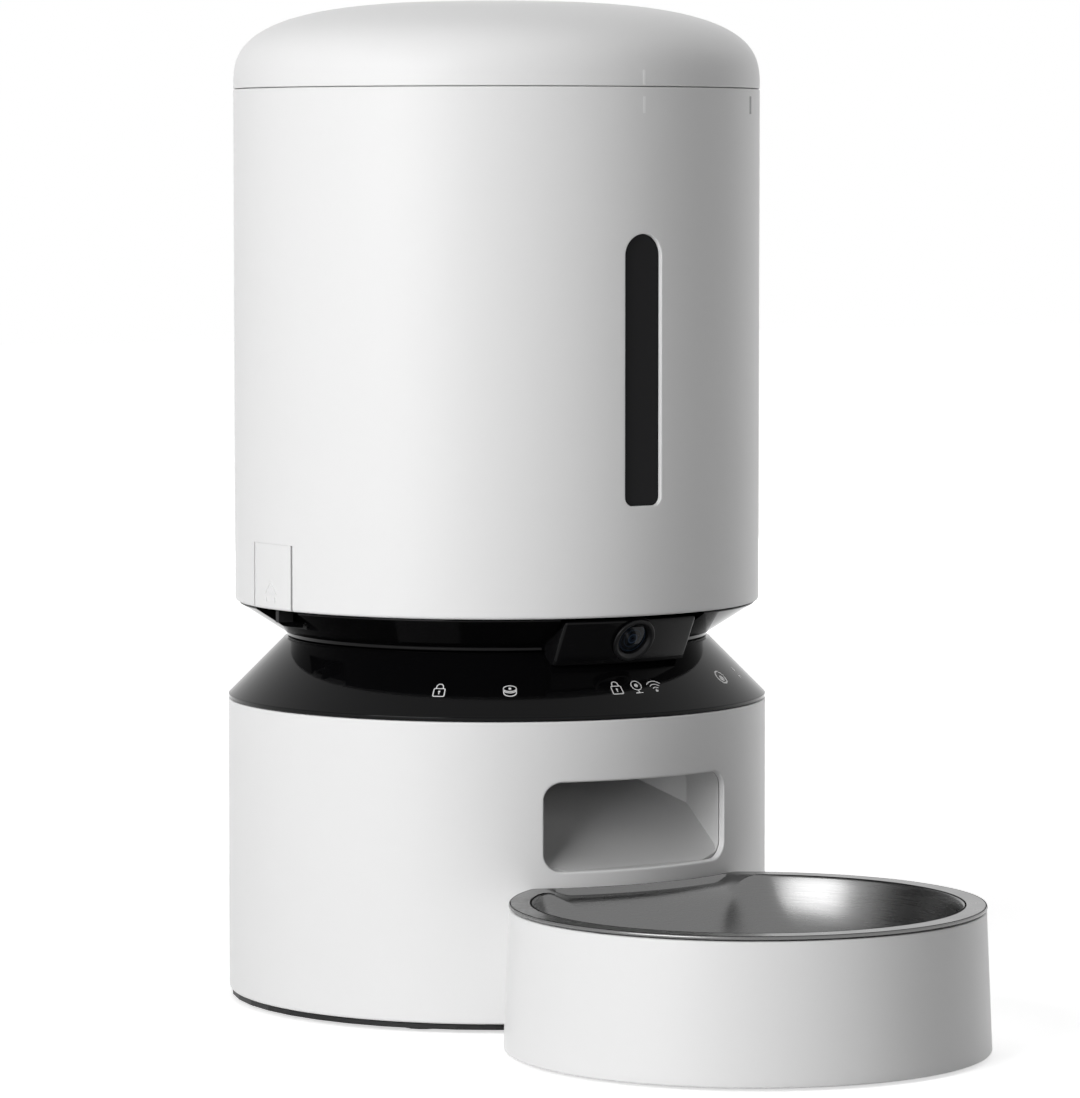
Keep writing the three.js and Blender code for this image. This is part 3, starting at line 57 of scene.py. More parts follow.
CAMERA_AZIMUTH = math.radians(-32.6)
CAMERA_FAR = 1859.07
CAMERA_HIGH = 285.04
CAMERA_PITCH = 0.07122
CAMERA_YAW = -0.00794
FOCAL_SHARE = 5441.14 / 1098


def turned(vector, angle):
    c, s = math.cos(angle), math.sin(angle)
    return Vector((c * vector[0] - s * vector[1], s * vector[0] + c * vector[1], vector[2]))


def add_camera():
    cp, sp = math.cos(CAMERA_PITCH), math.sin(CAMERA_PITCH)
    cw, sw = math.cos(CAMERA_YAW), math.sin(CAMERA_YAW)
    right = turned((cw, sw, 0), CAMERA_AZIMUTH)
    ahead = turned((-sw * cp, cw * cp, -sp), CAMERA_AZIMUTH)
    up = right.cross(ahead)
    place = turned((0, -CAMERA_FAR, CAMERA_HIGH), CAMERA_AZIMUTH) + Vector((0, AXIS_Y, 0))
    data = bpy.data.cameras.new("photo_camera")
    data.sensor_width = 36
    data.lens = 36 * FOCAL_SHARE
    data.clip_end = 20
    camera = bpy.data.objects.new("photo_camera", data)
    matrix = Matrix((right, up, -ahead)).transposed().to_4x4()
    matrix.translation = place * MM
    camera.matrix_world = matrix
    bpy.context.scene.collection.objects.link(camera)
    bpy.context.scene.camera = camera


add_camera()

# Materials


def new_material(name, color, roughness, metallic=0.0, **sockets):
    material = bpy.data.materials.new(name)
    material.use_nodes = True
    shader = material.node_tree.nodes["Principled BSDF"]
    shader.inputs["Base Color"].default_value = (*color, 1)
    shader.inputs["Roughness"].default_value = roughness
    shader.inputs["Metallic"].default_value = metallic
    for socket, value in sockets.items():
        shader.inputs[socket.replace("_", " ")].default_value = value
    return material, shader


def node(material, kind, **values):
    made = material.node_tree.nodes.new(kind)
    for key, value in values.items():
        if key in made.inputs:
            made.inputs[key].default_value = value
        else:
            setattr(made, key, value)
    return made


def link(material, start, end):
    material.node_tree.links.new(start, end)


def object_place(material, scale=(1, 1, 1)):
    """Object coordinates, stretched by scale."""
    coordinates = node(material, "ShaderNodeTexCoord")
    mapping = node(material, "ShaderNodeMapping")
    mapping.inputs["Scale"].default_value = scale
    link(material, coordinates.outputs["Object"], mapping.inputs["Vector"])
    return mapping.outputs["Vector"]


def add_bump(material, shader, height, strength, distance):
    bump = node(material, "ShaderNodeBump")
    bump.inputs["Strength"].default_value = strength
    bump.inputs["Distance"].default_value = distance
    link(material, height, bump.inputs["Height"])
    link(material, bump.outputs["Normal"], shader.inputs["Normal"])


def vary_roughness(material, shader, source, low, high):
    spread = node(material, "ShaderNodeMapRange")
    spread.inputs["To Min"].default_value = low
    spread.inputs["To Max"].default_value = high
    link(material, source, spread.inputs["Value"])
    link(material, spread.outputs["Result"], shader.inputs["Roughness"])


def plastic(name, color, roughness, grain=900.0, depth=0.00002, spread=0.05, **sockets):
    """Moulded plastic: one colour, a fine spark-eroded grain and a slow change of gloss."""
    material, shader = new_material(name, color, roughness, **sockets)
    place = object_place(material)
    fine = node(material, "ShaderNodeTexNoise", Scale=grain, Detail=2.0)
    slow = node(material, "ShaderNodeTexNoise", Scale=14.0, Detail=3.0)
    link(material, place, fine.inputs["Vector"])
    link(material, place, slow.inputs["Vector"])
    vary_roughness(material, shader, slow.outputs["Fac"], roughness - spread, roughness + spread)
    add_bump(material, shader, fine.outputs["Fac"], 0.25, depth)
    return material


def brushed(name, color, roughness, stretch, **sockets):
    """Steel with fine lines: noise stretched along the brushing sets both bump and gloss."""
    material, shader = new_material(name, color, roughness, 1.0, **sockets)
    lines = node(material, "ShaderNodeTexNoise", Scale=1.0, Detail=4.0)
    link(material, object_place(material, stretch), lines.inputs["Vector"])
    vary_roughness(material, shader, lines.outputs["Fac"], roughness - 0.06, roughness + 0.08)
    add_bump(material, shader, lines.outputs["Fac"], 0.12, 0.00001)
    return material


WHITE = plastic("satin_white", (0.80, 0.80, 0.80), 0.42, Specular_IOR_Level=0.25)
INNER_WHITE = plastic("matt_white", (0.76, 0.76, 0.755), 0.55)
GLOSS_BLACK = plastic("gloss_black", (0.0025, 0.0025, 0.0028), 0.06, grain=60.0,
                      depth=0.000004, spread=0.015, Specular_IOR_Level=0.1)
HOUSING_BLACK = plastic("camera_black", (0.004, 0.004, 0.0044), 0.13, spread=0.02,
                        Specular_IOR_Level=0.1)
MATT_BLACK = plastic("matt_black", (0.007, 0.007, 0.0075), 0.5, Specular_IOR_Level=0.25)
CHUTE_GREY = plastic("chute_grey", (0.62, 0.62, 0.62), 0.4)
WINDOW_BLACK = plastic("smoked_window", (0.015, 0.015, 0.016), 0.2, spread=0.03,
                       Specular_IOR_Level=0.08)
RUBBER = plastic("foot_rubber", (0.02, 0.02, 0.02), 0.8, grain=500.0, depth=0.00005)
SILICONE = plastic("seal_silicone", (0.5, 0.51, 0.52), 0.6)
BOARD = plastic("board_green", (0.01, 0.08, 0.03), 0.45, grain=300.0)
BOWL_STEEL = brushed("bowl_steel", (0.17, 0.17, 0.17), 0.27, (60, 60, 1500))
SPRING_STEEL = brushed("spring_steel", (0.55, 0.55, 0.55), 0.3, (40, 900, 900))
PRINT_WHITE = plastic("print_white", (0.85, 0.85, 0.85), 0.5)
MARK_GREY = plastic("mark_grey", (0.32, 0.32, 0.32), 0.5)
MARK_PALE = plastic("mark_pale", (0.9, 0.9, 0.9), 0.5)
BEZEL_BLACK = plastic("bezel_black", (0.006, 0.006, 0.0065), 0.3, spread=0.02,
                      Specular_IOR_Level=0.2)


# blue tint of the lens's painted rings, painted highlights and painted glint
RING_TINT = 0.55, 0.9, 1.5


def lens_material():
    """Coated glass with light painted into its colour: dark blue rings about the lens's axis,
    lighter bands painted where its inner rings catch light, and a painted bluish glint near the
    middle.
    """
    material, shader = new_material(
        "lens_glass", (0.004, 0.005, 0.008), 0.05, Specular_IOR_Level=0.2)
    coordinates = node(material, "ShaderNodeTexCoord")
    place = node(material, "ShaderNodeMapping")
    middle = Vector((0, AXIS_Y + LENS_PLACE[1], LENS_PLACE[2])) * MM
    place.vector_type = "TEXTURE"
    place.inputs["Location"].default_value = middle
    place.inputs["Rotation"].default_value = (QUARTER + LENS_TILT, 0, 0)
    link(material, coordinates.outputs["Object"], place.inputs["Vector"])
    split = node(material, "ShaderNodeSeparateXYZ")
    link(material, place.outputs["Vector"], split.inputs[0])
    flat = node(material, "ShaderNodeCombineXYZ")
    link(material, split.outputs["X"], flat.inputs["X"])
    link(material, split.outputs["Y"], flat.inputs["Y"])
    far = node(material, "ShaderNodeVectorMath", operation="LENGTH")
    link(material, flat.outputs[0], far.inputs[0])
    share = node(material, "ShaderNodeMapRange")
    share.inputs["From Max"].default_value = GLASS_R * MM
    link(material, far.outputs["Value"], share.inputs["Value"])
    ramp = node(material, "ShaderNodeValToRGB")
    # painted light: the lighter stops are painted highlights where the lens's inner rings catch
    # light, and the one at 0.30 is a painted bluish glint
    ring_and_glint_stops = ((0.0, 0.002), (0.24, 0.02), (0.30, 0.06), (0.36, 0.004), (0.55, 0.006),
             (0.60, 0.03), (0.66, 0.004), (0.84, 0.008), (0.90, 0.03), (1.0, 0.003))
    band = ramp.color_ramp.elements
    band[0].position, band[1].position = ring_and_glint_stops[0][0], ring_and_glint_stops[-1][0]
    for at, shade in ring_and_glint_stops[1:-1]:
        band.new(at)
    for element, (at, shade) in zip(band, ring_and_glint_stops):
        element.color = (*(tint * shade for tint in RING_TINT), 1)
    link(material, share.outputs["Result"], ramp.inputs["Fac"])
    link(material, ramp.outputs["Color"], shader.inputs["Base Color"])
    return material


LENS = lens_material()

# Surfaces


def quads(points, keep=None):
    """A grid of points (rows, columns, 3) as corners and four-sided faces, where keep is true."""
    rows, columns = points.shape[:2]
    index = np.arange(rows * columns).reshape(rows, columns)
    faces = np.stack([index[:-1, :-1], index[:-1, 1:], index[1:, 1:], index[1:, :-1]], -1)
    if keep is not None:
        faces = faces[keep]
    return points.reshape(-1, 3), faces.reshape(-1, 4)


def make(name, parts, material, body, replaces=(), sharp=32):
    """One mesh from several grids or (corners, faces) pairs: doubles merged, normals outwards."""
    corners, faces, start = [], [], 0
    for part in parts:
        p, f = part if isinstance(part, tuple) else quads(part)
        corners.append(p)
        faces.append(f + start)
        start += len(p)
    corners = (np.concatenate(corners) + np.array([0, AXIS_Y, 0])) * MM
    faces = np.concatenate(faces)
    mesh = bpy.data.meshes.new(name)
    mesh.from_pydata(corners, [], faces.tolist())
    work = bmesh.new()
    work.from_mesh(mesh)
    bmesh.ops.remove_doubles(work, verts=work.verts, dist=MERGE_REACH)
    bmesh.ops.dissolve_degenerate(work, edges=work.edges, dist=SLIVER)
    bmesh.ops.recalc_face_normals(work, faces=work.faces)
    work.to_mesh(mesh)
    work.free()
    mesh.polygons.foreach_set("use_smooth", np.ones(len(mesh.polygons), bool))
    mesh.set_sharp_from_angle(angle=math.radians(sharp))
    mesh.materials.append(material)
    piece = bpy.data.objects.new(name, mesh)
    bpy.context.scene.collection.objects.link(piece)
    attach(piece, body)
    if replaces:
        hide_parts(*replaces)
    return piece


def path(points, radii, steps=6, support=0.5):
    """A line through points in (radius, height), each corner rounded by an arc that touches both
    of its legs, with one more point on each leg a little way before and after the arc."""
    points = np.array(points, float)
    out = [points[:1]]
    for i in range(1, len(points) - 1):
        corner, r = points[i], radii[i]
        back, on = points[i - 1] - corner, points[i + 1] - corner
        reach = min(np.linalg.norm(back), np.linalg.norm(on))
        back, on = back / np.linalg.norm(back), on / np.linalg.norm(on)
        if r <= 0:
            out.append(corner[None])
            continue
        half = 0.5 * math.acos(np.clip(back @ on, -1, 1))
        leg = r / math.tan(half)
        middle = corner + (back + on) / np.linalg.norm(back + on) * r / math.sin(half)
        start, end = corner + back * leg - middle, corner + on * leg - middle
        s = np.linspace(0, 1, steps + 1)[:, None]
        sweep = math.pi - 2 * half
        arc = middle + (np.sin((1 - s) * sweep) * start + np.sin(s * sweep) * end) / math.sin(sweep)
        extra = min(support, 0.3 * max(reach - leg, 0))
        out += [corner[None] + back * (leg + extra), arc, corner[None] + on * (leg + extra)]
    out.append(points[-1:])
    return np.concatenate(out)


def closed_path(points, radii, steps=6):
    """The same for a closed outline: its ends meet at the middle of the last leg."""
    points = [tuple(p) for p in points]
    middle = tuple((np.array(points[-1]) + np.array(points[0])) / 2)
    return path([middle, *points, middle], [0, *radii, 0], steps)


def around(profile, angles):
    """Turns (radius, height) points about the axis. An angle counts from the front to the right."""
    r, z = profile[:, 0][:, None], profile[:, 1][:, None]
    return np.stack([r * np.sin(angles), -r * np.cos(angles), z + 0 * angles], -1)


def circle(count, *extra, start=-math.pi):
    """Equal turns once round from start, which is the back, with extra angles put among them."""
    angles = np.linspace(start, start + FULL, count + 1)
    for angle in extra:
        angles = angles[np.abs(angles - angle) > 0.4 * FULL / count]
    return np.sort(np.concatenate([angles, extra]))


def lathe(profile, count=240):
    return around(np.asarray(profile, float), np.linspace(-math.pi, math.pi, count + 1))


def wall(outer, inner, angles, gaps=(), holes=(), open_ends=False):
    """A turned wall between two profiles with equally many points. gaps are (angle, angle, row,
    row) cells that are left out and closed round their edges. holes are (middle angle, half
    width, low, high, low corner, high corner, rounding, margin) and get a patch of their own:
    rings that run from the hole's rounded outline out to the cells round it."""
    out, into = around(outer, angles), around(inner, angles)
    rows, columns = len(outer) - 1, len(angles) - 1
    middle = (angles[:-1] + angles[1:]) / 2
    solid = np.ones((rows, columns), bool)
    for a0, a1, j0, j1 in gaps:
        solid[j0:j1] &= ~((middle > a0) & (middle < a1))
    skin = solid.copy()
    parts = []
    for hole in holes:
        cells, made = patch(outer, inner, angles, hole)
        skin[cells] = False
        parts += made
    parts += [quads(out, skin), quads(into, skin)]
    level = np.zeros((rows + 1, columns), bool)
    level[1:-1] = solid[:-1] != solid[1:]
    level[0], level[-1] = solid[0], solid[-1]
    j, a = np.nonzero(level)
    parts.append(strip(out[j, a], out[j, a + 1], into[j, a + 1], into[j, a]))
    side = np.zeros((rows, columns + 1), bool)
    side[:, 1:-1] = solid[:, :-1] != solid[:, 1:]
    if open_ends:
        side[:, 0], side[:, -1] = solid[:, 0], solid[:, -1]
    j, a = np.nonzero(side)
    parts.append(strip(out[j, a], out[j + 1, a], into[j + 1, a], into[j, a]))
    return parts


def strip(a, b, c, d):
    """Separate four-sided faces from four lists of corners."""
    count = len(a)
    corners = np.stack([a, b, c, d], 1).reshape(-1, 3)
    return corners, np.arange(4 * count).reshape(count, 4)


def rounded_outline(half, low, high, r_low, r_high, across, up, grow=0.0):
    """A rectangle's outline with round corners, run from the middle of the lower left corner
    through the bottom, right, top and left sides, with across and up steps on a side."""
    half, low, high = half + grow, low - grow, high + grow
    r_low, r_high = r_low + grow, min(r_high + grow, half)

    def corner(x, z, r, start, end):
        t = np.linspace(start, end, 13)
        return np.stack([x + r * np.cos(t), z + r * np.sin(t)], -1)

    q = math.pi / 4
    x_low, x_high = half - r_low, half - r_high
    z_low, z_high = low + r_low, high - r_high
    low_left, low_right = (-x_low, z_low, r_low), (x_low, z_low, r_low)
    high_left, high_right = (-x_high, z_high, r_high), (x_high, z_high, r_high)
    sides = [
        (corner(*low_left, -3 * q, -2 * q), corner(*low_right, -2 * q, -q), across),
        (corner(*low_right, -q, 0), corner(*high_right, 0, q), up),
        (corner(*high_right, q, 2 * q), corner(*high_left, 2 * q, 3 * q), across),
        (corner(*high_left, 3 * q, 4 * q), corner(*low_left, -4 * q, -3 * q), up),
    ]
    out = []
    for first, last, steps in sides:
        line = np.concatenate([first, last])
        length = np.linalg.norm(np.diff(line, axis=0), axis=1)
        length[:12] *= 3
        length[13:] *= 3
        along = np.concatenate([[0], np.cumsum(length)])
        at = np.linspace(0, along[-1], steps + 1)[:-1]
        out.append(np.stack([np.interp(at, along, line[:, k]) for k in (0, 1)], -1))
    out = np.concatenate(out)
    return np.concatenate([out, out[:1]])


def patch(outer, inner, angles, hole):
    """The rings round one hole in a wall, on both skins, and the rounded edge between them."""
    centre, half, low, high, r_low, r_high, rounding, margin = hole
    big_r = outer[len(outer) // 2, 0]
    small_r = inner[len(inner) // 2, 0]
    spread = math.asin((half + margin) / big_r)
    columns = np.nonzero((angles > centre - spread) & (angles < centre + spread))[0]
    c0, c1 = columns[0], columns[-1]
    upright = np.abs(outer[:, 0] - big_r) < 1e-6
    near_hole = (outer[:, 1] > low - margin) & (outer[:, 1] < high + margin)
    level_rows = np.nonzero(upright & near_hole)[0]
    j0, j1 = level_rows[0], level_rows[-1]
    z, a = outer[:, 1], angles
    frame_line = np.concatenate([
        np.stack([a[c0:c1], np.full(c1 - c0, z[j0])], -1),
        np.stack([np.full(j1 - j0, a[c1]), z[j0:j1]], -1),
        np.stack([a[c1:c0:-1], np.full(c1 - c0, z[j1])], -1),
        np.stack([np.full(j1 - j0 + 1, a[c0]), z[j1:j0 - 1 if j0 else None:-1]], -1),
    ])
    across, up = c1 - c0, j1 - j0

    def line(grow, radius):
        flat = rounded_outline(half, low, high, r_low, r_high, across, up, grow)
        return np.stack([centre + np.arcsin(flat[:, 0] / radius), flat[:, 1]], -1)

    def lay(rings, radii):
        rings = np.array(rings)
        radii = np.broadcast_to(np.array(radii, float)[:, None], rings.shape[:2])
        angle, high = rings[..., 0], rings[..., 1]
        return np.stack([radii * np.sin(angle), -radii * np.cos(angle), high], -1)

    made = []
    for radius, start in ((big_r, rounding), (small_r, 0.0)):
        near, next_ring = line(start, radius), line(start + 0.5, radius)
        rings = [near] + [next_ring + (frame_line - next_ring) * s for s in (0, 0.33, 0.66, 1)]
        made.append(lay(rings, [radius] * len(rings)))
    turn = np.linspace(0, QUARTER, 7)
    grows = list(rounding * (1 - np.sin(turn))) + [0.0]
    radii = list(big_r - rounding * (1 - np.cos(turn))) + [small_r]
    made.append(lay([line(g, r) for g, r in zip(grows, radii)], radii))
    return (slice(j0, j1), slice(c0, c1)), made


def levels(low, high, count, *extra):
    """Heights from low to high in equal steps, with extra ones put among them."""
    z = np.linspace(low, high, count + 1)
    for value in extra:
        z = z[(np.abs(z - value) > 0.4 * (high - low) / count) | (z == low) | (z == high)]
    return np.unique(np.concatenate([z, extra]))


def upright_wall(radius, inner_radius, low, high, r_low, r_high, heights):
    """Outer and inner profiles of an upright wall, with rounded lower and upper outer edges."""
    outer = path([(inner_radius, low), (radius, low), (radius, high), (inner_radius, high)],
                 [0, r_low, r_high, 0])
    first = int(np.argmax(outer[:, 0] > radius - 1e-6))
    last = len(outer) - 1 - int(np.argmax(outer[::-1, 0] > radius - 1e-6))
    inside = heights[(heights > outer[first + 1, 1] + 0.2) & (heights < outer[last - 1, 1] - 0.2)]
    between = np.stack([np.full(len(inside), radius), inside], -1)
    outer = np.concatenate([outer[:first + 2], between, outer[last - 1:]])
    inner = np.stack([np.full(len(outer), inner_radius), outer[:, 1]], -1)
    return outer, inner


def polar_block(r0, r1, a0, a1, z0, z1, count=16):
    """A closed block between two radii, two angles and two heights."""
    profile = np.array([(r0, z0), (r1, z0), (r1, z1), (r0, z1), (r0, z0)], float)
    grid = around(profile, np.linspace(a0, a1, count + 1))
    return [grid] + [strip(*[grid[k, end][None] for k in range(4)]) for end in (0, -1)]


# Base

BASE_R, BASE_IN = 92.0, 89.4
BASE_LOW, BASE_TOP = 2.7, 102.2


def base_shell():
    """The base's upright wall with its rounded chute mouth, two tongue notches in its foot and the
    round inlet hole at the back."""
    notch = 3.4, 7.6
    heights = levels(BASE_LOW, BASE_TOP, 60, *notch)
    outer, inner = upright_wall(BASE_R, BASE_IN, BASE_LOW, BASE_TOP, 0.8, 0.45, heights)
    rows = [int(np.argmin(np.abs(outer[:, 1] - z))) for z in notch]
    near, far = math.asin(16 / BASE_R), math.asin(30 / BASE_R)
    gaps = [(near, far, *rows), (-far, -near, *rows)]
    mouth = (0.0, 35.8, 52.6, 82.1, 6, 6, 0.7, 7)
    inlet = (math.pi, 5.7, 12.3, 23.7, 5.7, 5.7, 0.3, 4)
    angles = circle(240, -far, -near, near, far, start=-0.8 * math.pi)
    return wall(outer, inner, angles, gaps, [mouth, inlet])


make("base_wall", base_shell(), WHITE, "base", ["base_shell"])


def cover_parts():
    """The 45-degree cone with its rim band, rounded neck and well, over a flat deck."""
    cone = closed_path(
        [(89.1, 98.6), (89.1, 102.5), (92, 102.5), (92, 103.7), (72.9, 122.8), (71.9, 123.3),
         (67.4, 123.3), (67.4, 99.6), (70.0, 99.6), (70.0, 121.4), (86.7, 104.7), (86.7, 98.6)],
        [0, 0, 0.2, 0.35, 0.7, 0.5, 0.4, 0, 0, 0, 0, 0])
    deck_rows = np.array([8, 14, 22.5, 36, 50, 61.5, 67.4])
    top = np.stack([deck_rows, np.full(7, 102.0)], -1)
    low = np.stack([deck_rows, np.full(7, 99.6)], -1)
    half = math.radians(24.5)
    return [lathe(cone, 288)] + wall(top, low, circle(180, -half, half), gaps=[(-half, half, 2, 5)])


make("cone_cover", cover_parts(), GLOSS_BLACK, "base", ["shoulder_cover"])

# Tank

TANK_R, TANK_IN = 89.55, 87.15
TANK_LOW, TANK_TOP = 135.6, 309.2
WINDOW = 7.06, 171.9, 261.2, 3, 7.06  # half width, low, high, low corner, high corner
TAB_GAP = math.asin(12.7 / TANK_R)
TAB_EDGE = math.asin(11.7 / TANK_R)
TAB_HIGH = 157.55
TAB_SLIT = 0.05
TAB_SLOPE = 0.3


def tank_shell():
    """The tank's upright wall with the window's slot, two notches for the tabs and the ledges."""
    heights = levels(TANK_LOW, TANK_TOP, 90, TAB_HIGH + TAB_SLIT)
    outer, inner = upright_wall(TANK_R, TANK_IN, TANK_LOW, TANK_TOP, 1.0, 0.5, heights)
    top = int(np.argmin(np.abs(outer[:, 1] - TAB_HIGH - TAB_SLIT)))
    angles = circle(240, *[s * QUARTER + t * TAB_GAP for s in (-1, 1) for t in (-1, 1)])
    gaps = [(s * QUARTER - TAB_GAP, s * QUARTER + TAB_GAP, 0, top) for s in (-1, 1)]
    window = (0.0, *WINDOW, 0.35, 7)
    parts = wall(outer, inner, angles, gaps, [window])
    for k in range(3):
        middle = math.radians(120 + 120 * k)
        half = math.radians(43)
        parts += polar_block(84, 87.2, middle - half, middle + half, 300.2, 302.6)
    return parts


make("tank_wall", tank_shell(), WHITE, "tank", ["tank_shell"])


def release_tab(side):
    """The tab between two slits: the wall's own curve, cut off at both sides. Its top face slopes
    down inwards, so that it clears the wall above when the tab is pressed."""
    heights = levels(TANK_LOW, TAB_HIGH, 10)
    outer, inner = upright_wall(TANK_R, TANK_IN, TANK_LOW, TAB_HIGH, 1.0, 0.02, heights)
    outer[-1, 1] = TAB_HIGH - TAB_SLOPE
    inner[:, 1] = np.minimum(inner[:, 1], TAB_HIGH - TAB_SLOPE)
    middle = side * QUARTER
    angles = np.linspace(middle - TAB_EDGE, middle + TAB_EDGE, 15)
    return wall(outer, inner, angles, open_ends=True)


def release_prong(side):
    """The dark prong behind a tab's foot, which hooks under the base's neck."""
    middle, half = side * QUARTER, 0.9 / 82
    return polar_block(81.5, 87.1, middle - half, middle + half, 131.2, 141, 2)


for side, body in ((1, "right_tab"), (-1, "left_tab")):
    stood_for = body.replace("_tab", "_release_tab")
    make(body, release_tab(side), WHITE, body, [stood_for])
    make(body + "_prong", release_prong(side), MATT_BLACK, body)


def window_pane():
    """The smoked pane: its outline drawn in to a line up its middle, on a cylinder."""
    outline = rounded_outline(*WINDOW, 16, 40, -0.03)
    low, high = WINDOW[1:3]
    spine = np.stack([0 * outline[:, 0], np.clip(outline[:, 1], low + 7, high - 7)], -1)
    grids = []
    for radius in (87.95, 85.45):
        share = np.linspace(1, 0, 9)[:, None, None]
        flat = spine + (outline - spine) * share
        angle = np.arcsin(flat[..., 0] / radius)
        grids.append(np.stack([radius * np.sin(angle), -radius * np.cos(angle), flat[..., 1]], -1))
    grids.append(np.stack([grids[0][0], grids[1][0]]))
    return grids


make("window_pane", window_pane(), WINDOW_BLACK, "tank", ["tank_window"])

CAMERA_GAP = math.asin(26.5 / 82)


def funnel_parts():
    """The outer black cone with its camera gap and tab pockets, round the food cone and chamber."""
    outer = path(
        [(70.5, 123.65), (71.9, 123.65), (71.9, 125.1), (73.0, 125.15), (88.2, 134.8),
         (88.2, 135.3), (86.85, 135.3), (86.85, 141)],
        [0, 0.4, 0.4, 0.2, 0.2, 0.2, 0, 0], 4)
    k = int(np.argmax(outer[:, 0] > 77.9))
    share = np.linspace(0, 1, 12)[1:-1][:, None]
    near = outer[k - 1] + (outer[k] - outer[k - 1]) * share
    outer = np.concatenate([outer[:k], near, outer[k:]])
    inner = outer + np.array([-0.4, 1.0]) * 2.0
    inner[:, 0] = np.minimum(inner[:, 0], 84.95)
    first = int(np.argmax(outer[:, 0] > 73.0))
    pocket = int(np.argmax(outer[:, 0] > 77.8))
    edge = math.asin(12.7 / 82)
    tab_edges = [s * QUARTER + t * edge for s in (-1, 1) for t in (-1, 1)]
    angles = circle(240, -CAMERA_GAP, CAMERA_GAP, *tab_edges)
    last = len(outer)
    gaps = [(-CAMERA_GAP, CAMERA_GAP, first, last)]
    gaps += [(s * QUARTER - edge, s * QUARTER + edge, pocket, last) for s in (-1, 1)]
    parts = wall(outer, inner, angles, gaps)
    cup = closed_path(
        [(66.8, 120.3), (66.8, 123.6), (70.8, 123.7), (72.2, 126.0), (72.6, 132), (86.85, 158.5),
         (86.85, 164.4), (86.35, 164.4), (66.6, 128.3), (66.6, 126), (64.4, 126), (64.4, 120.3)],
        [0.2, 0.5, 0.4, 0.5, 1, 0, 0, 0, 2, 0.3, 0.3, 0.2], 4)
    return parts + [lathe(cup, 240)]


make("black_funnel", funnel_parts(), GLOSS_BLACK, "tank", ["tank_funnel"])


def chamber_parts():
    """The rotor's cup: an upright wall with a rounded foot, over a flat floor with a drop hole."""
    cup = closed_path(
        [(61, 102.3), (66.8, 102.3), (66.8, 120), (64.4, 120), (64.4, 104.5), (61, 104.5)],
        [0, 0.4, 0.2, 0.2, 0.8, 0], 4)
    rows = np.array([8, 14, 25, 36, 50, 58, 61.0])
    half = math.radians(23)
    top = np.stack([rows, np.full(7, 104.5)], -1)
    low = np.stack([rows, np.full(7, 102.3)], -1)
    floor = wall(top, low, circle(180, -half, half), gaps=[(-half, half, 2, 5)])
    return [lathe(cup, 240)] + floor


make("chamber_cup", chamber_parts(), GLOSS_BLACK, "tank", ["rotor_chamber"])

# Lid

LID_FOOT = 309.45
LID_POWER = 2.95
DOME_FOOT, DOME_TALL = 309.8, 29.1
LID_WALL = 2.2


def dome(radius, tall, count):
    """The lid's profile: a superellipse of LID_POWER, taken at equal turns."""
    t = np.linspace(0, QUARTER, count)
    c, s = np.cos(t), np.sin(t)
    reach = (c ** LID_POWER + s ** LID_POWER) ** (-1 / LID_POWER)
    profile = np.stack([radius * c * reach, DOME_FOOT + tall * s * reach], -1)
    profile[-1, 0] = 0
    return profile


def lid_shell():
    """The lid: its profile outside and inside, joined by a rounded foot."""
    outer = dome(TANK_R, DOME_TALL, 49)
    inner = dome(TANK_R - LID_WALL, 26.9, 33)[::-1]
    foot = path(
        [(TANK_R - LID_WALL, LID_FOOT), (TANK_R, LID_FOOT), (TANK_R - 0.01, 311)],
        [0, 0.25, 0], 4, 0.2)
    return [lathe(np.concatenate([foot, outer[2:], inner]), 240)]


make("lid_dome", lid_shell(), WHITE, "lid", ["lid_shell"])

# Camera

CAMERA_HALF = 25.9
FACE_LOW, FACE_HIGH = np.array([79.9, 120.6]), np.array([86.9, 134.6])
FACE_NORMAL = np.array([14.0, -7.0])
LENS_UP = np.array([0, -math.sin(LENS_TILT), math.cos(LENS_TILT)])
LENS_OUT = np.array([0, -math.cos(LENS_TILT), -math.sin(LENS_TILT)])


def inset(points, by):
    """A closed outline's corners after each of its sides has moved inwards by the same length: a
    corner moves by the sum of its two sides' normals over one plus their product."""
    points = np.asarray(points, float)
    along = np.roll(points, -1, 0) - points
    along /= np.linalg.norm(along, axis=1)[:, None]
    normal = np.stack([-along[:, 1], along[:, 0]], -1)
    before = np.roll(normal, 1, 0)
    return points + by * (before + normal) / (1 + (before * normal).sum(1))[:, None]


def on_drum(x, r, z):
    """The point at x on the front of a drum of radius r about the base's axis."""
    return np.stack([x, -np.sqrt(r * r - x * x), z], -1)


def face_point(x, s):
    """The point of the housing's sloping face at x, and at share s of its height."""
    line = FACE_LOW + (FACE_HIGH - FACE_LOW) * s[..., None]
    return on_drum(x, line[..., 0], line[..., 1])


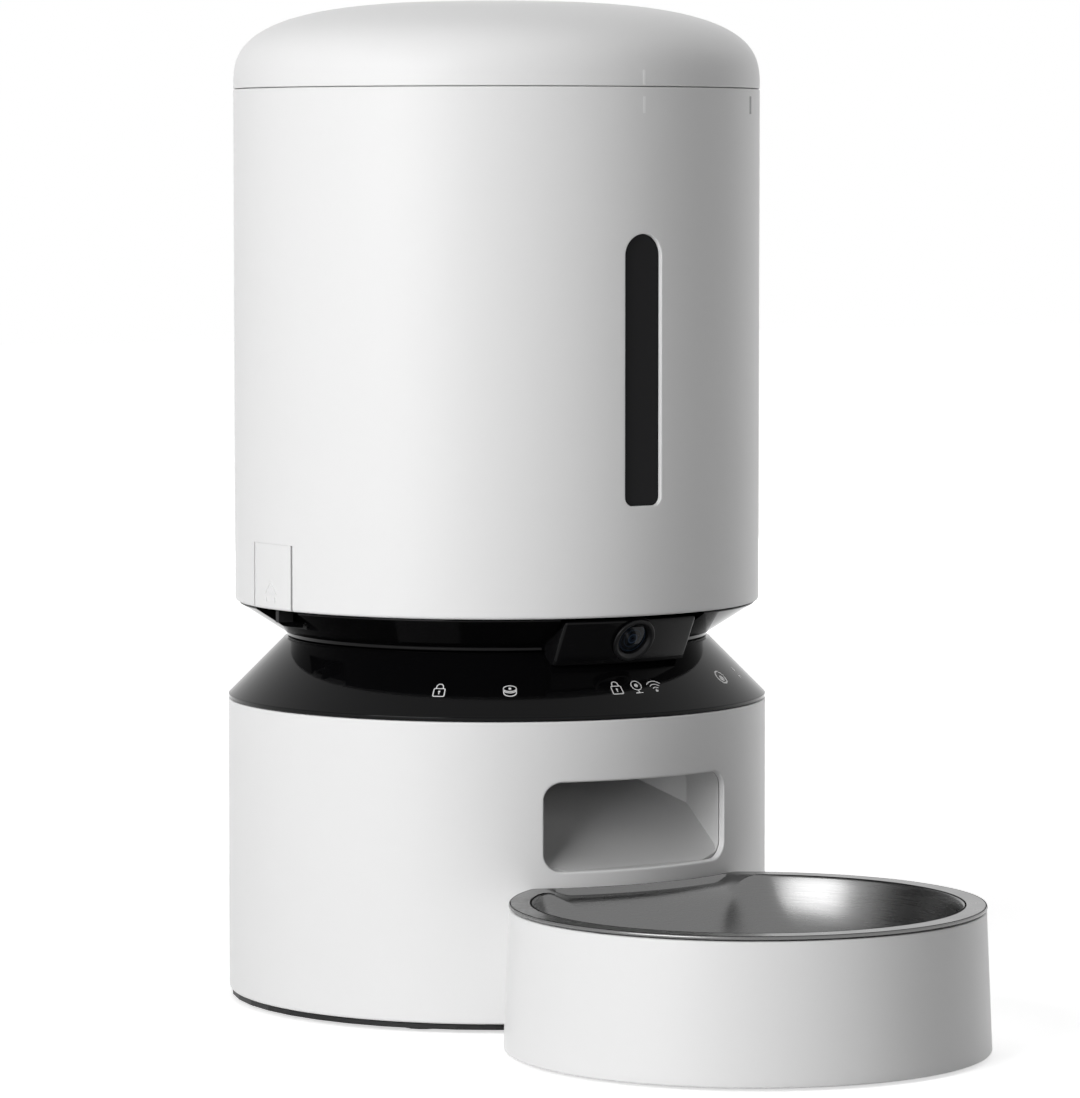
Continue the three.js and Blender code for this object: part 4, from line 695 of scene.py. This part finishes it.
def housing_parts():
    """The camera's block: a closed profile carried across in x along drums about the axis, drawn
    in at both ends by a quarter round, with a lens hole whose rings fit its sloping face."""
    corners = [(73.6, 122.55), (76.85, 119.3), (79.1, 119.3), tuple(FACE_LOW), tuple(FACE_HIGH),
               (73.6, 134.6)]
    radii = [0.4, 0.3, 0.6, 0.6, 0.9, 0.4]
    turn = np.linspace(0, QUARTER, 7)
    edge = 0.9
    half = CAMERA_HALF - edge
    columns = [(-half - edge * math.sin(t), edge * (1 - math.cos(t))) for t in turn[::-1]]
    columns += [(x, 0.0) for x in np.linspace(-half, half, 61)[1:-1]]
    columns += [(half + edge * math.sin(t), edge * (1 - math.cos(t))) for t in turn]

    def rows_at(by):
        drawn_in = inset(corners, by)
        outline = closed_path(drawn_in, [max(r - by / 2, 0.1) for r in radii], 5)
        on_face = np.abs((outline - drawn_in[3]) @ FACE_NORMAL) < 1e-6
        k = np.nonzero(on_face)[0]
        first, last = outline[k[0]], outline[k[-1]]
        middle = first + (last - first) * np.linspace(0, 1, 17)[:, None]
        return np.concatenate([outline[:k[0]], middle, outline[k[-1] + 1:]]), k[0]

    grid = []
    for x, by in columns:
        profile, first = rows_at(by)
        grid.append(on_drum(np.full(len(profile), x), profile[:, 0], profile[:, 1]))
    grid = np.stack(grid, 1)
    ends = []
    for column in (grid[:, 0], grid[:, -1]):
        share = np.linspace(1, 0, 4)[:, None, None]
        heart = column[:-1].mean(0)
        ends.append(heart + (column - heart) * share)
    j0, j1 = first + 2, first + 14
    xs = np.array([x for x, by in columns])
    inside = np.nonzero(np.abs(xs) < 9.6)[0]
    c0, c1 = inside[0], inside[-1]
    keep = np.ones((grid.shape[0] - 1, grid.shape[1] - 1), bool)
    keep[j0:j1, c0:c1] = False
    frame_line = np.concatenate([
        grid[j0, c0:c1], grid[j0:j1, c1], grid[j1, c1:c0:-1], grid[j1:j0 - 1:-1, c0]])
    away = frame_line - LENS_PLACE
    angle = np.arctan2(away @ LENS_UP, away[:, 0])
    slope = np.linalg.norm(FACE_HIGH - FACE_LOW)

    def ring_at(radius):
        return face_point(radius * np.cos(angle), 0.5 + radius * np.sin(angle) / slope)

    near, wide = ring_at(6.9), ring_at(8.2)
    rings = [near] + [wide + (frame_line - wide) * k for k in (0, 0.33, 0.66, 1)]
    flat = np.cos(angle)[:, None] * np.array([1.0, 0, 0]) + np.sin(angle)[:, None] * LENS_UP
    tunnel = [near]
    for radius, deep in ((6.9, 1.5), (6.9, 3.3), (4.9, 3.3), (4.9, 5.6), (2.4, 5.6), (0, 5.6)):
        tunnel.append(LENS_PLACE + flat * radius - LENS_OUT * deep)
    return [quads(grid, keep), np.array(rings), np.array(tunnel)] + ends


make("camera_block", housing_parts(), HOUSING_BLACK, "base", ["camera_housing"])


def lens_turned(profile, count=128):
    """Turns (radius, height) points about the lens's own axis. Height counts out from the face."""
    profile = np.asarray(profile, float)
    angle = np.linspace(0, FULL, count + 1)
    r, h = profile[:, 0][:, None, None], profile[:, 1][:, None, None]
    flat = np.cos(angle)[:, None] * np.array([1.0, 0, 0]) + np.sin(angle)[:, None] * LENS_UP
    return LENS_PLACE + r * flat + h * LENS_OUT


BEZEL = closed_path(
    [(5.6, -3.0), (6.6, -3.0), (6.6, 0.3), (7.8, 0.3), (7.8, 1.1), (6.5, 1.1), (5.6, 0.2)],
    [0, 0, 0, 0.1, 0.35, 0.5, 0.2], 5)
make("lens_bezel", [lens_turned(BEZEL)], BEZEL_BLACK, "base", ["lens_ring"])

glass_share = np.linspace(0, 1, 12)
GLASS_FACE = np.stack([GLASS_R * glass_share, -0.2 - 0.5 * glass_share ** 2], -1)
GLASS = np.concatenate([GLASS_FACE, [(GLASS_R, -1.6), (0, -1.6)]])
make("lens_pane", [lens_turned(GLASS)], LENS, "base", ["lens_glass"])

# Printed marks

CONE_SUM = 195.7  # radius and height add up to this all over the cone


def stroke(line, wide, proud, place):
    """A printed line: a flat ribbon along points in the plane, with closed sides and ends. place
    lays (across, up, out) on the surface."""
    line = np.asarray(line, float)
    along = np.gradient(line, axis=0)
    closed = np.allclose(line[0], line[-1])
    if closed:
        along[0] = along[-1] = line[1] - line[-2]
    along /= np.linalg.norm(along, axis=1)[:, None]
    side = np.stack([-along[:, 1], along[:, 0]], -1) * wide / 2
    left, right = line + side, line - side
    deep = -0.05
    corner = [(left, deep), (right, deep), (right, proud), (left, proud), (left, deep)]
    grid = np.stack([place(at[:, 0], at[:, 1], np.full(len(at), h)) for at, h in corner])
    parts = [grid]
    if not closed:
        parts += [strip(*[grid[k, end][None] for k in range(4)]) for end in (0, -1)]
    return parts


def on_cone(azimuth, radius):
    """Lays a flat drawing on the cone: across round the axis, up along the slope, out off it."""
    def place(u, v, out):
        r = radius - v / math.sqrt(2) + out / math.sqrt(2)
        a = math.radians(azimuth) + u / radius
        z = CONE_SUM - radius + (v + out) / math.sqrt(2)
        return np.stack([r * np.sin(a), -r * np.cos(a), z], -1)
    return place


def on_wall(azimuth, radius, height):
    """Lays a flat drawing on an upright wall."""
    def place(u, v, out):
        r = radius + out
        a = math.radians(azimuth) + u / radius
        return np.stack([r * np.sin(a), -r * np.cos(a), height + v], -1)
    return place


def on_lid(azimuth):
    """Lays a flat drawing on the lid's dome, up from its foot."""
    def place(u, v, out):
        rise = np.clip((v + LID_FOOT - DOME_FOOT) / DOME_TALL, 0, 1)
        r = TANK_R * (1 - rise ** LID_POWER) ** (1 / LID_POWER) + out
        a = math.radians(azimuth) + u / TANK_R
        return np.stack([r * np.sin(a), -r * np.cos(a), LID_FOOT + v], -1)
    return place


def bow(x, y, rx, ry, start, end, count=28):
    """Part of an ellipse's line, between two angles in degrees."""
    t = np.radians(np.linspace(start, end, count))
    return np.stack([x + rx * np.cos(t), y + ry * np.sin(t)], -1)


def straight(x0, y0, x1, y1, count=5):
    return np.linspace((x0, y0), (x1, y1), count)


def dot(x, y, radius):
    """A round spot, as a line that runs round at half its radius and is as wide."""
    return bow(x, y, radius / 2, radius / 2, 0, 360, 20)


def rounded_box(x0, y0, x1, y1, r):
    ends = [(x1 - r, y0 + r, -90), (x1 - r, y1 - r, 0), (x0 + r, y1 - r, 90), (x0 + r, y0 + r, 180)]
    line = np.concatenate([bow(x, y, r, r, a, a + 90, 6) for x, y, a in ends])
    return np.concatenate([line, line[:1]])


THIN = 0.34
PADLOCK = [
    (rounded_box(-1.85, -2.6, 1.85, 0.7, 0.4), THIN),
    (np.concatenate([straight(-1.15, 0.7, -1.15, 1.3, 3)[:-1], bow(0, 1.3, 1.15, 1.3, 180, 0),
                     straight(1.15, 1.3, 1.15, 0.7, 3)[1:]]), THIN),
    (dot(0, -0.6, 0.38), 0.38),
    (straight(0, -0.8, 0, -1.7), THIN),
]
BOWL_SIGN = [
    (bow(0, 0.9, 2.15, 1.2, 0, 360, 40), THIN),
    (dot(0, 0.9, 0.5), 0.5),
    (bow(0, 0.5, 2.2, 1.4, 190, 350), THIN),
    (np.concatenate([straight(-2.15, 0.9, -2.05, -0.9), bow(0, -0.9, 2.05, 1.4, 184, 356),
                     straight(2.05, -0.9, 2.15, 0.9)]), THIN),
]
CAMERA_SIGN = [
    (bow(0, 0.5, 1.9, 1.9, 0, 360, 40), THIN),
    (dot(0, 0.5, 0.7), 0.7),
    (straight(-1.4, -2.6, 1.4, -2.6), THIN),
    (straight(0, -1.5, 0, -2.5), THIN),
]
WIRELESS_SIGN = [(bow(0, -2.3, r, r, 135, 45), THIN) for r in (1.5, 2.8, 4.1)]
WIRELESS_SIGN.append((dot(0, -2.2, 0.5), 0.5))
RING_SIGN = [(bow(0, 0, 2.6, 2.6, 0, 360, 40), 0.7), (dot(0, -0.5, 1.3), 1.3)]
DOTS_SIGN = [(dot(0, 1.6, 0.9), 0.9), (dot(0, -1.5, 0.9), 0.9)]

SIGNS_R = 83.9
signs = []
for azimuth, drawing in (
        (-45.6, PADLOCK), (-29.7, BOWL_SIGN), (-4.7, PADLOCK), (0.75, CAMERA_SIGN),
        (5.7, WIRELESS_SIGN), (31.3, RING_SIGN), (43, DOTS_SIGN)):
    for line, wide in drawing:
        signs += stroke(line, wide, 0.03, on_cone(azimuth, SIGNS_R))
make("cone_icons", signs, PRINT_WHITE, "base", sharp=20)

make("lid_mark", stroke(straight(0, 0.4, 0, 5.3, 16), 1.0, 0.06, on_lid(0)),
     MARK_PALE, "lid")
make("tank_pale_mark", stroke(straight(0, 0, 0, 5.5, 6), 1.0, 0.04, on_wall(0, TANK_R, 300.6)),
     MARK_PALE, "tank")
make("tank_dark_mark", stroke(straight(0, 0, 0, 5.9, 6), 2.0, 0.04, on_wall(39.4, TANK_R, 300.7)),
     MARK_GREY, "tank")

TAB_SIGN = [(np.array([(-3.6, -4.6), (0, -0.7), (3.6, -4.6), (-3.6, -4.6)]), 0.5),
            (rounded_box(-2.7, -7.4, 2.7, -5.7, 0.2), 0.4)]
for side, body in ((90, "right_tab"), (-90, "left_tab")):
    raised = []
    for line, wide in TAB_SIGN:
        raised += stroke(line, wide, 0.3, on_wall(side, TANK_R, 145.5))
    make(body + "_emboss", raised, WHITE, body, sharp=20)

# Bowl and tray

REACH = 149.35  # from the base's axis to the bowl's
BITE = 92.8
HEART = np.array([0, -REACH - 15])  # the point that outlines shrink to
HOLLOW_POWER = 10
RIM_IN = BITE + 0.9  # the rim's inner line on the base's side
RIM_HIGH = 47.6


def bitten(radius, bite, horn, counts=(160, 14, 60, 14)):
    """A round about the bowl's axis, bitten by a circle about the base's axis, with round horns."""
    to_round, to_bite = radius - horn, bite + horn
    y = -(REACH ** 2 + to_bite ** 2 - to_round ** 2) / (2 * REACH)
    x = math.sqrt(to_bite ** 2 - y * y)
    outer, inner = math.atan2(y + REACH, x), math.atan2(y, x)

    def arc(cx, cy, r, start, end, count):
        t = start + (end - start) * np.arange(count) / count
        return np.stack([cx + r * np.cos(t), cy + r * np.sin(t)], -1)

    line = np.concatenate([
        arc(0, -REACH, radius, math.pi - outer, FULL + outer, counts[0]),
        arc(x, y, horn, outer, inner + math.pi, counts[1]),
        arc(0, 0, bite, inner, -math.pi - inner, counts[2]),
        arc(-x, y, horn, -inner, math.pi - outer, counts[3]),
    ])
    return np.concatenate([line, line[:1]])


def ring_grid(outlines, heights):
    """Outlines stacked at heights, either one height each or one for every point."""
    flat = np.array(outlines)
    z = np.array([np.broadcast_to(h, flat.shape[1]) for h in heights])
    return np.concatenate([flat, z[..., None]], -1)


def smooth(share):
    """A share from 0 to 1 that starts and ends level: three squares less two cubes."""
    share = np.clip(share, 0, 1)
    return share * share * (3 - 2 * share)


def spill_share(outline, inner=0.0, edge=23.5, fade=6.0):
    """How far a point lies within the sunk part under the chute: 1 inside, 0 outside."""
    turn = np.abs(np.degrees(np.arctan2(outline[:, 0], -outline[:, 1])))
    far = np.hypot(outline[:, 0], outline[:, 1])
    return smooth((edge - turn) / fade) * (far < 108) * np.clip((far - inner) / 0.6, 0, 1)


def tray_parts():
    """The tray: outlines that taper up to a rounded rim, and down the inside to its floor."""
    turn = np.linspace(0, QUARTER, 6)
    outlines, heights = [], []

    def add(radius, bite, horn, z, share=1.0):
        line = bitten(radius, bite, horn)
        outlines.append(HEART + (line - HEART) * share)
        heights.append(z)

    low_r, top_r = 78.5, 76.6
    for share in (0, 0.5, 0.97):
        add(low_r - 0.8, BITE + 0.8, 2.2, 0.6, share)
    for t in turn:
        by = 0.8 * (1 - math.sin(t))
        add(low_r - by, BITE + by, 3 - by, 0.6 + 0.8 * (1 - math.cos(t)))
    for s in np.linspace(0.06, 0.97, 9):
        add(low_r + (top_r - low_r) * s, BITE, 3, 1.4 + 43.5 * s)
    last = bitten(top_r, BITE, 3)
    drop = 2.2 * spill_share(last)
    for t in turn:
        by = 0.6 * (1 - math.cos(t))
        add(top_r - by, BITE + by, 3 - by, 45.3 + 0.6 * math.sin(t) - drop)
    for by, z in ((2.0, 45.9 - drop), (2.4, 45.6 - drop), (2.4, 6.0), (3.4, 4.2)):
        add(top_r - by, BITE + by, 3, z)
    for share in (0.95, 0.5, 0):
        add(top_r - 3.6, BITE + 3.6, 3, 4.0, share)
    return [ring_grid(outlines, heights)]


make("tray_cup", tray_parts(), WHITE, "tray", ["bowl_tray"])


def bowl_parts():
    """The bowl: a flat rim with a rounded edge round a hollow. Its depth falls short of the
    floor's by the share of the way out, raised to HOLLOW_POWER, and its horns grow rounder as it
    deepens. Under the chute the rim is gone: a soft slope runs from the edge to the floor."""
    outer, opening = bitten(76.8, BITE, 2), bitten(68.8, 101, 14)
    outlines, heights = [], []

    def add(line, z, spill, thick=0.0):
        """Each point's height goes from the rim's own, z, to the slope's by the point's spill."""
        inward = np.hypot(line[:, 0], line[:, 1]) - 95.6
        slope = 45.3 - thick - 25.3 * smooth(inward / 27)
        outlines.append(line)
        heights.append(z + (slope - z) * spill)

    def hollow(level, radius, bite, top, tall, thick=0.0):
        share = 1 - level ** 1.5
        line = bitten(radius, bite, 83 - radius + 30 * smooth(level / 0.5))
        deep = top - tall * (1 - share ** HOLLOW_POWER)
        wider = smooth(level / 0.3)
        spill = spill_share(line, edge=23.5 + 4.5 * wider, fade=6 + 14 * wider)
        add(HEART + (line - HEART) * share, deep, spill * share ** 3, thick)

    for level in np.linspace(1, 0.03, 24):
        hollow(level, 69.8, 100, 46.0, 27.4, 1.3)
    under = bitten(70.0, 99.8, 14)
    for s in (1, 0.8, 0.6, 0.35):
        line = outer + (under - outer) * s
        add(line, RIM_HIGH - 1.3, spill_share(line, RIM_IN), 1.3)
    for t in np.linspace(0, math.pi, 9):
        grow = 0.65 * math.sin(t)
        line = bitten(76.15 + grow, BITE + 0.65 - grow, 2)
        outlines.append(line)
        heights.append(46.95 - 0.65 * math.cos(t) - 2.3 * spill_share(line, RIM_IN))
    for s in (0.04, 0.1, 0.14, 0.2, 0.35, 0.5, 0.65, 0.8, 0.92):
        line = outer + (opening - outer) * s
        add(line, RIM_HIGH, spill_share(line, RIM_IN))
    for t in np.radians(np.linspace(0, 66, 6)):
        by = 1.2 * (1 - math.sin(t))
        line = bitten(68.8 + by, 101 - by, 14)
        add(line, RIM_HIGH - 1.2 * (1 - math.cos(t)), spill_share(line))
    for level in np.linspace(0.04, 1, 32):
        hollow(level, 68.8, 101, 46.4, 26.4)
    return [ring_grid(outlines, heights)]


make("bowl_cup", bowl_parts(), BOWL_STEEL, "bowl", ["steel_bowl"], sharp=50)

# Finishes of the frame's own pieces

FINISHES = {
    "base_plate": MATT_BLACK, "battery_box": MATT_BLACK, "battery_door": MATT_BLACK,
    "speaker": MATT_BLACK, "gearbox": MATT_BLACK, "power_inlet": MATT_BLACK,
    "outlet_baffle": MATT_BLACK, "camera_barrel": MATT_BLACK,
    "front_left_foot": RUBBER, "front_right_foot": RUBBER, "rear_left_foot": RUBBER,
    "rear_right_foot": RUBBER, "front_tray_pad": RUBBER, "left_tray_pad": RUBBER,
    "right_tray_pad": RUBBER,
    "front_contact_strip": SPRING_STEEL, "rear_contact_strip": SPRING_STEEL,
    "drive_motor": SPRING_STEEL,
    "control_board": BOARD, "touch_board": BOARD, "camera_board": BOARD,
    "food_chute": CHUTE_GREY, "drive_coupling": INNER_WHITE, "feed_rotor": INNER_WHITE,
    "stirrer": INNER_WHITE, "lid_liner": INNER_WHITE, "desiccant_box": INNER_WHITE,
    "desiccant_cap": INNER_WHITE, "lid_seal": SILICONE,
}
for name, material in FINISHES.items():
    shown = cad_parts[name]
    for slot in shown.material_slots:
        slot.link = "OBJECT"
        slot.material = material

# Studio

AMBIENT = 0.03
FLOOR_REACH, FLOOR_HIGH = 6.0, -0.0004
FLOOR_GREY = 0.8
FLOOR_BOUNCE = 0.7
FLOOR_GLOW = 0.62


LAMPS_MIDDLE = Vector((0, 0.03, 0.17))
LAMPS = {  # azimuth, elevation, distance, width, height, power, whether it shows in gloss
    "key_box": (-40, 16, 2.0, 1.2, 1.4, 34, True),
    "fill_box": (20, 20, 2.2, 1.0, 1.0, 2.2, False),
    "rim_box": (130, 15, 2.0, 0.8, 1.4, 12, False),
    "back_box": (185, 12, 2.2, 1.4, 1.2, 10, False),
    "top_box": (0, 88, 1.8, 1.2, 1.2, 9, False),
}


def seen_directly(tree):
    """1 for camera, mirror and glass rays, 0 for the rays that light the object."""
    rays = tree.nodes.new("ShaderNodeLightPath")
    outputs = [rays.outputs[k] for k in ("Is Camera Ray", "Is Glossy Ray", "Is Transmission Ray")]
    either = outputs[0]
    for other in outputs[1:]:
        step = tree.nodes.new("ShaderNodeMath")
        step.operation = "MAXIMUM"
        tree.links.new(either, step.inputs[0])
        tree.links.new(other, step.inputs[1])
        either = step.outputs[0]
    return either


def background(tree, strength):
    made = tree.nodes.new("ShaderNodeBackground")
    made.inputs["Color"].default_value = (1, 1, 1, 1)
    made.inputs["Strength"].default_value = strength
    return made


def mixed(tree, share, first, second):
    mix = tree.nodes.new("ShaderNodeMixShader")
    tree.links.new(share, mix.inputs[0])
    tree.links.new(first, mix.inputs[1])
    tree.links.new(second, mix.inputs[2])
    return mix.outputs[0]


def add_world():
    """White to the camera, to mirrors and to glass, and a faint even light on the feeder."""
    world = bpy.data.worlds.new("studio")
    bpy.context.scene.world = world
    world.use_nodes = True
    tree = world.node_tree
    tree.nodes.clear()
    ambient = background(tree, AMBIENT)
    white = background(tree, 1.0)
    output = tree.nodes.new("ShaderNodeOutputWorld")
    shown = mixed(tree, seen_directly(tree), ambient.outputs[0], white.outputs[0])
    tree.links.new(shown, output.inputs["Surface"])


def add_floor():
    """A wide floor whose paleness rises to white toward its edge, so that no horizon shows."""
    mesh = bpy.data.meshes.new("floor")
    corners = [(x * FLOOR_REACH, y * FLOOR_REACH, FLOOR_HIGH)
               for x, y in ((-1, -1), (1, -1), (1, 1), (-1, 1))]
    mesh.from_pydata(corners, [], [(0, 1, 2, 3)])
    floor = bpy.data.objects.new("floor", mesh)
    bpy.context.scene.collection.objects.link(floor)
    material = bpy.data.materials.new("pale_floor")
    material.use_nodes = True
    tree = material.node_tree
    tree.nodes.clear()
    shaded = tree.nodes.new("ShaderNodeBsdfDiffuse")
    shaded.inputs["Color"].default_value = (FLOOR_GREY, FLOOR_GREY, FLOOR_GREY, 1)
    bounce = tree.nodes.new("ShaderNodeBsdfDiffuse")
    bounce.inputs["Color"].default_value = (FLOOR_BOUNCE, FLOOR_BOUNCE, FLOOR_BOUNCE, 1)
    place = tree.nodes.new("ShaderNodeTexCoord")
    far = tree.nodes.new("ShaderNodeVectorMath")
    far.operation = "LENGTH"
    tree.links.new(place.outputs["Object"], far.inputs[0])
    rise = tree.nodes.new("ShaderNodeMapRange")
    ends = {"From Min": 0.3, "From Max": 1.2, "To Min": FLOOR_GLOW, "To Max": 1.0}
    for socket, value in ends.items():
        rise.inputs[socket].default_value = value
    tree.links.new(far.outputs["Value"], rise.inputs["Value"])
    glow = tree.nodes.new("ShaderNodeEmission")
    tree.links.new(rise.outputs["Result"], glow.inputs["Strength"])
    both = tree.nodes.new("ShaderNodeAddShader")
    tree.links.new(shaded.outputs[0], both.inputs[0])
    tree.links.new(glow.outputs[0], both.inputs[1])
    output = tree.nodes.new("ShaderNodeOutputMaterial")
    shown = mixed(tree, seen_directly(tree), bounce.outputs[0], both.outputs[0])
    tree.links.new(shown, output.inputs["Surface"])
    mesh.materials.append(material)


def add_lamp(name, azimuth, elevation, far, width, height, power, glossy):
    """A soft box that faces the feeder's middle, from an azimuth counted from the camera's own."""
    angle = CAMERA_AZIMUTH + math.radians(azimuth)
    rise = math.radians(elevation)
    flat = math.cos(rise)
    away = Vector((math.sin(angle) * flat, -math.cos(angle) * flat, math.sin(rise)))
    data = bpy.data.lights.new(name, "AREA")
    data.shape = "RECTANGLE"
    data.size, data.size_y = width, height
    data.energy = power
    lamp = bpy.data.objects.new(name, data)
    lamp.location = LAMPS_MIDDLE + away * far
    lamp.rotation_euler = away.to_track_quat("Z", "Y").to_euler()
    lamp.visible_glossy = glossy
    bpy.context.scene.collection.objects.link(lamp)


add_world()
add_floor()
for name, lamp in LAMPS.items():
    add_lamp(name, *lamp)

bpy.context.scene.view_settings.view_transform = "Standard"
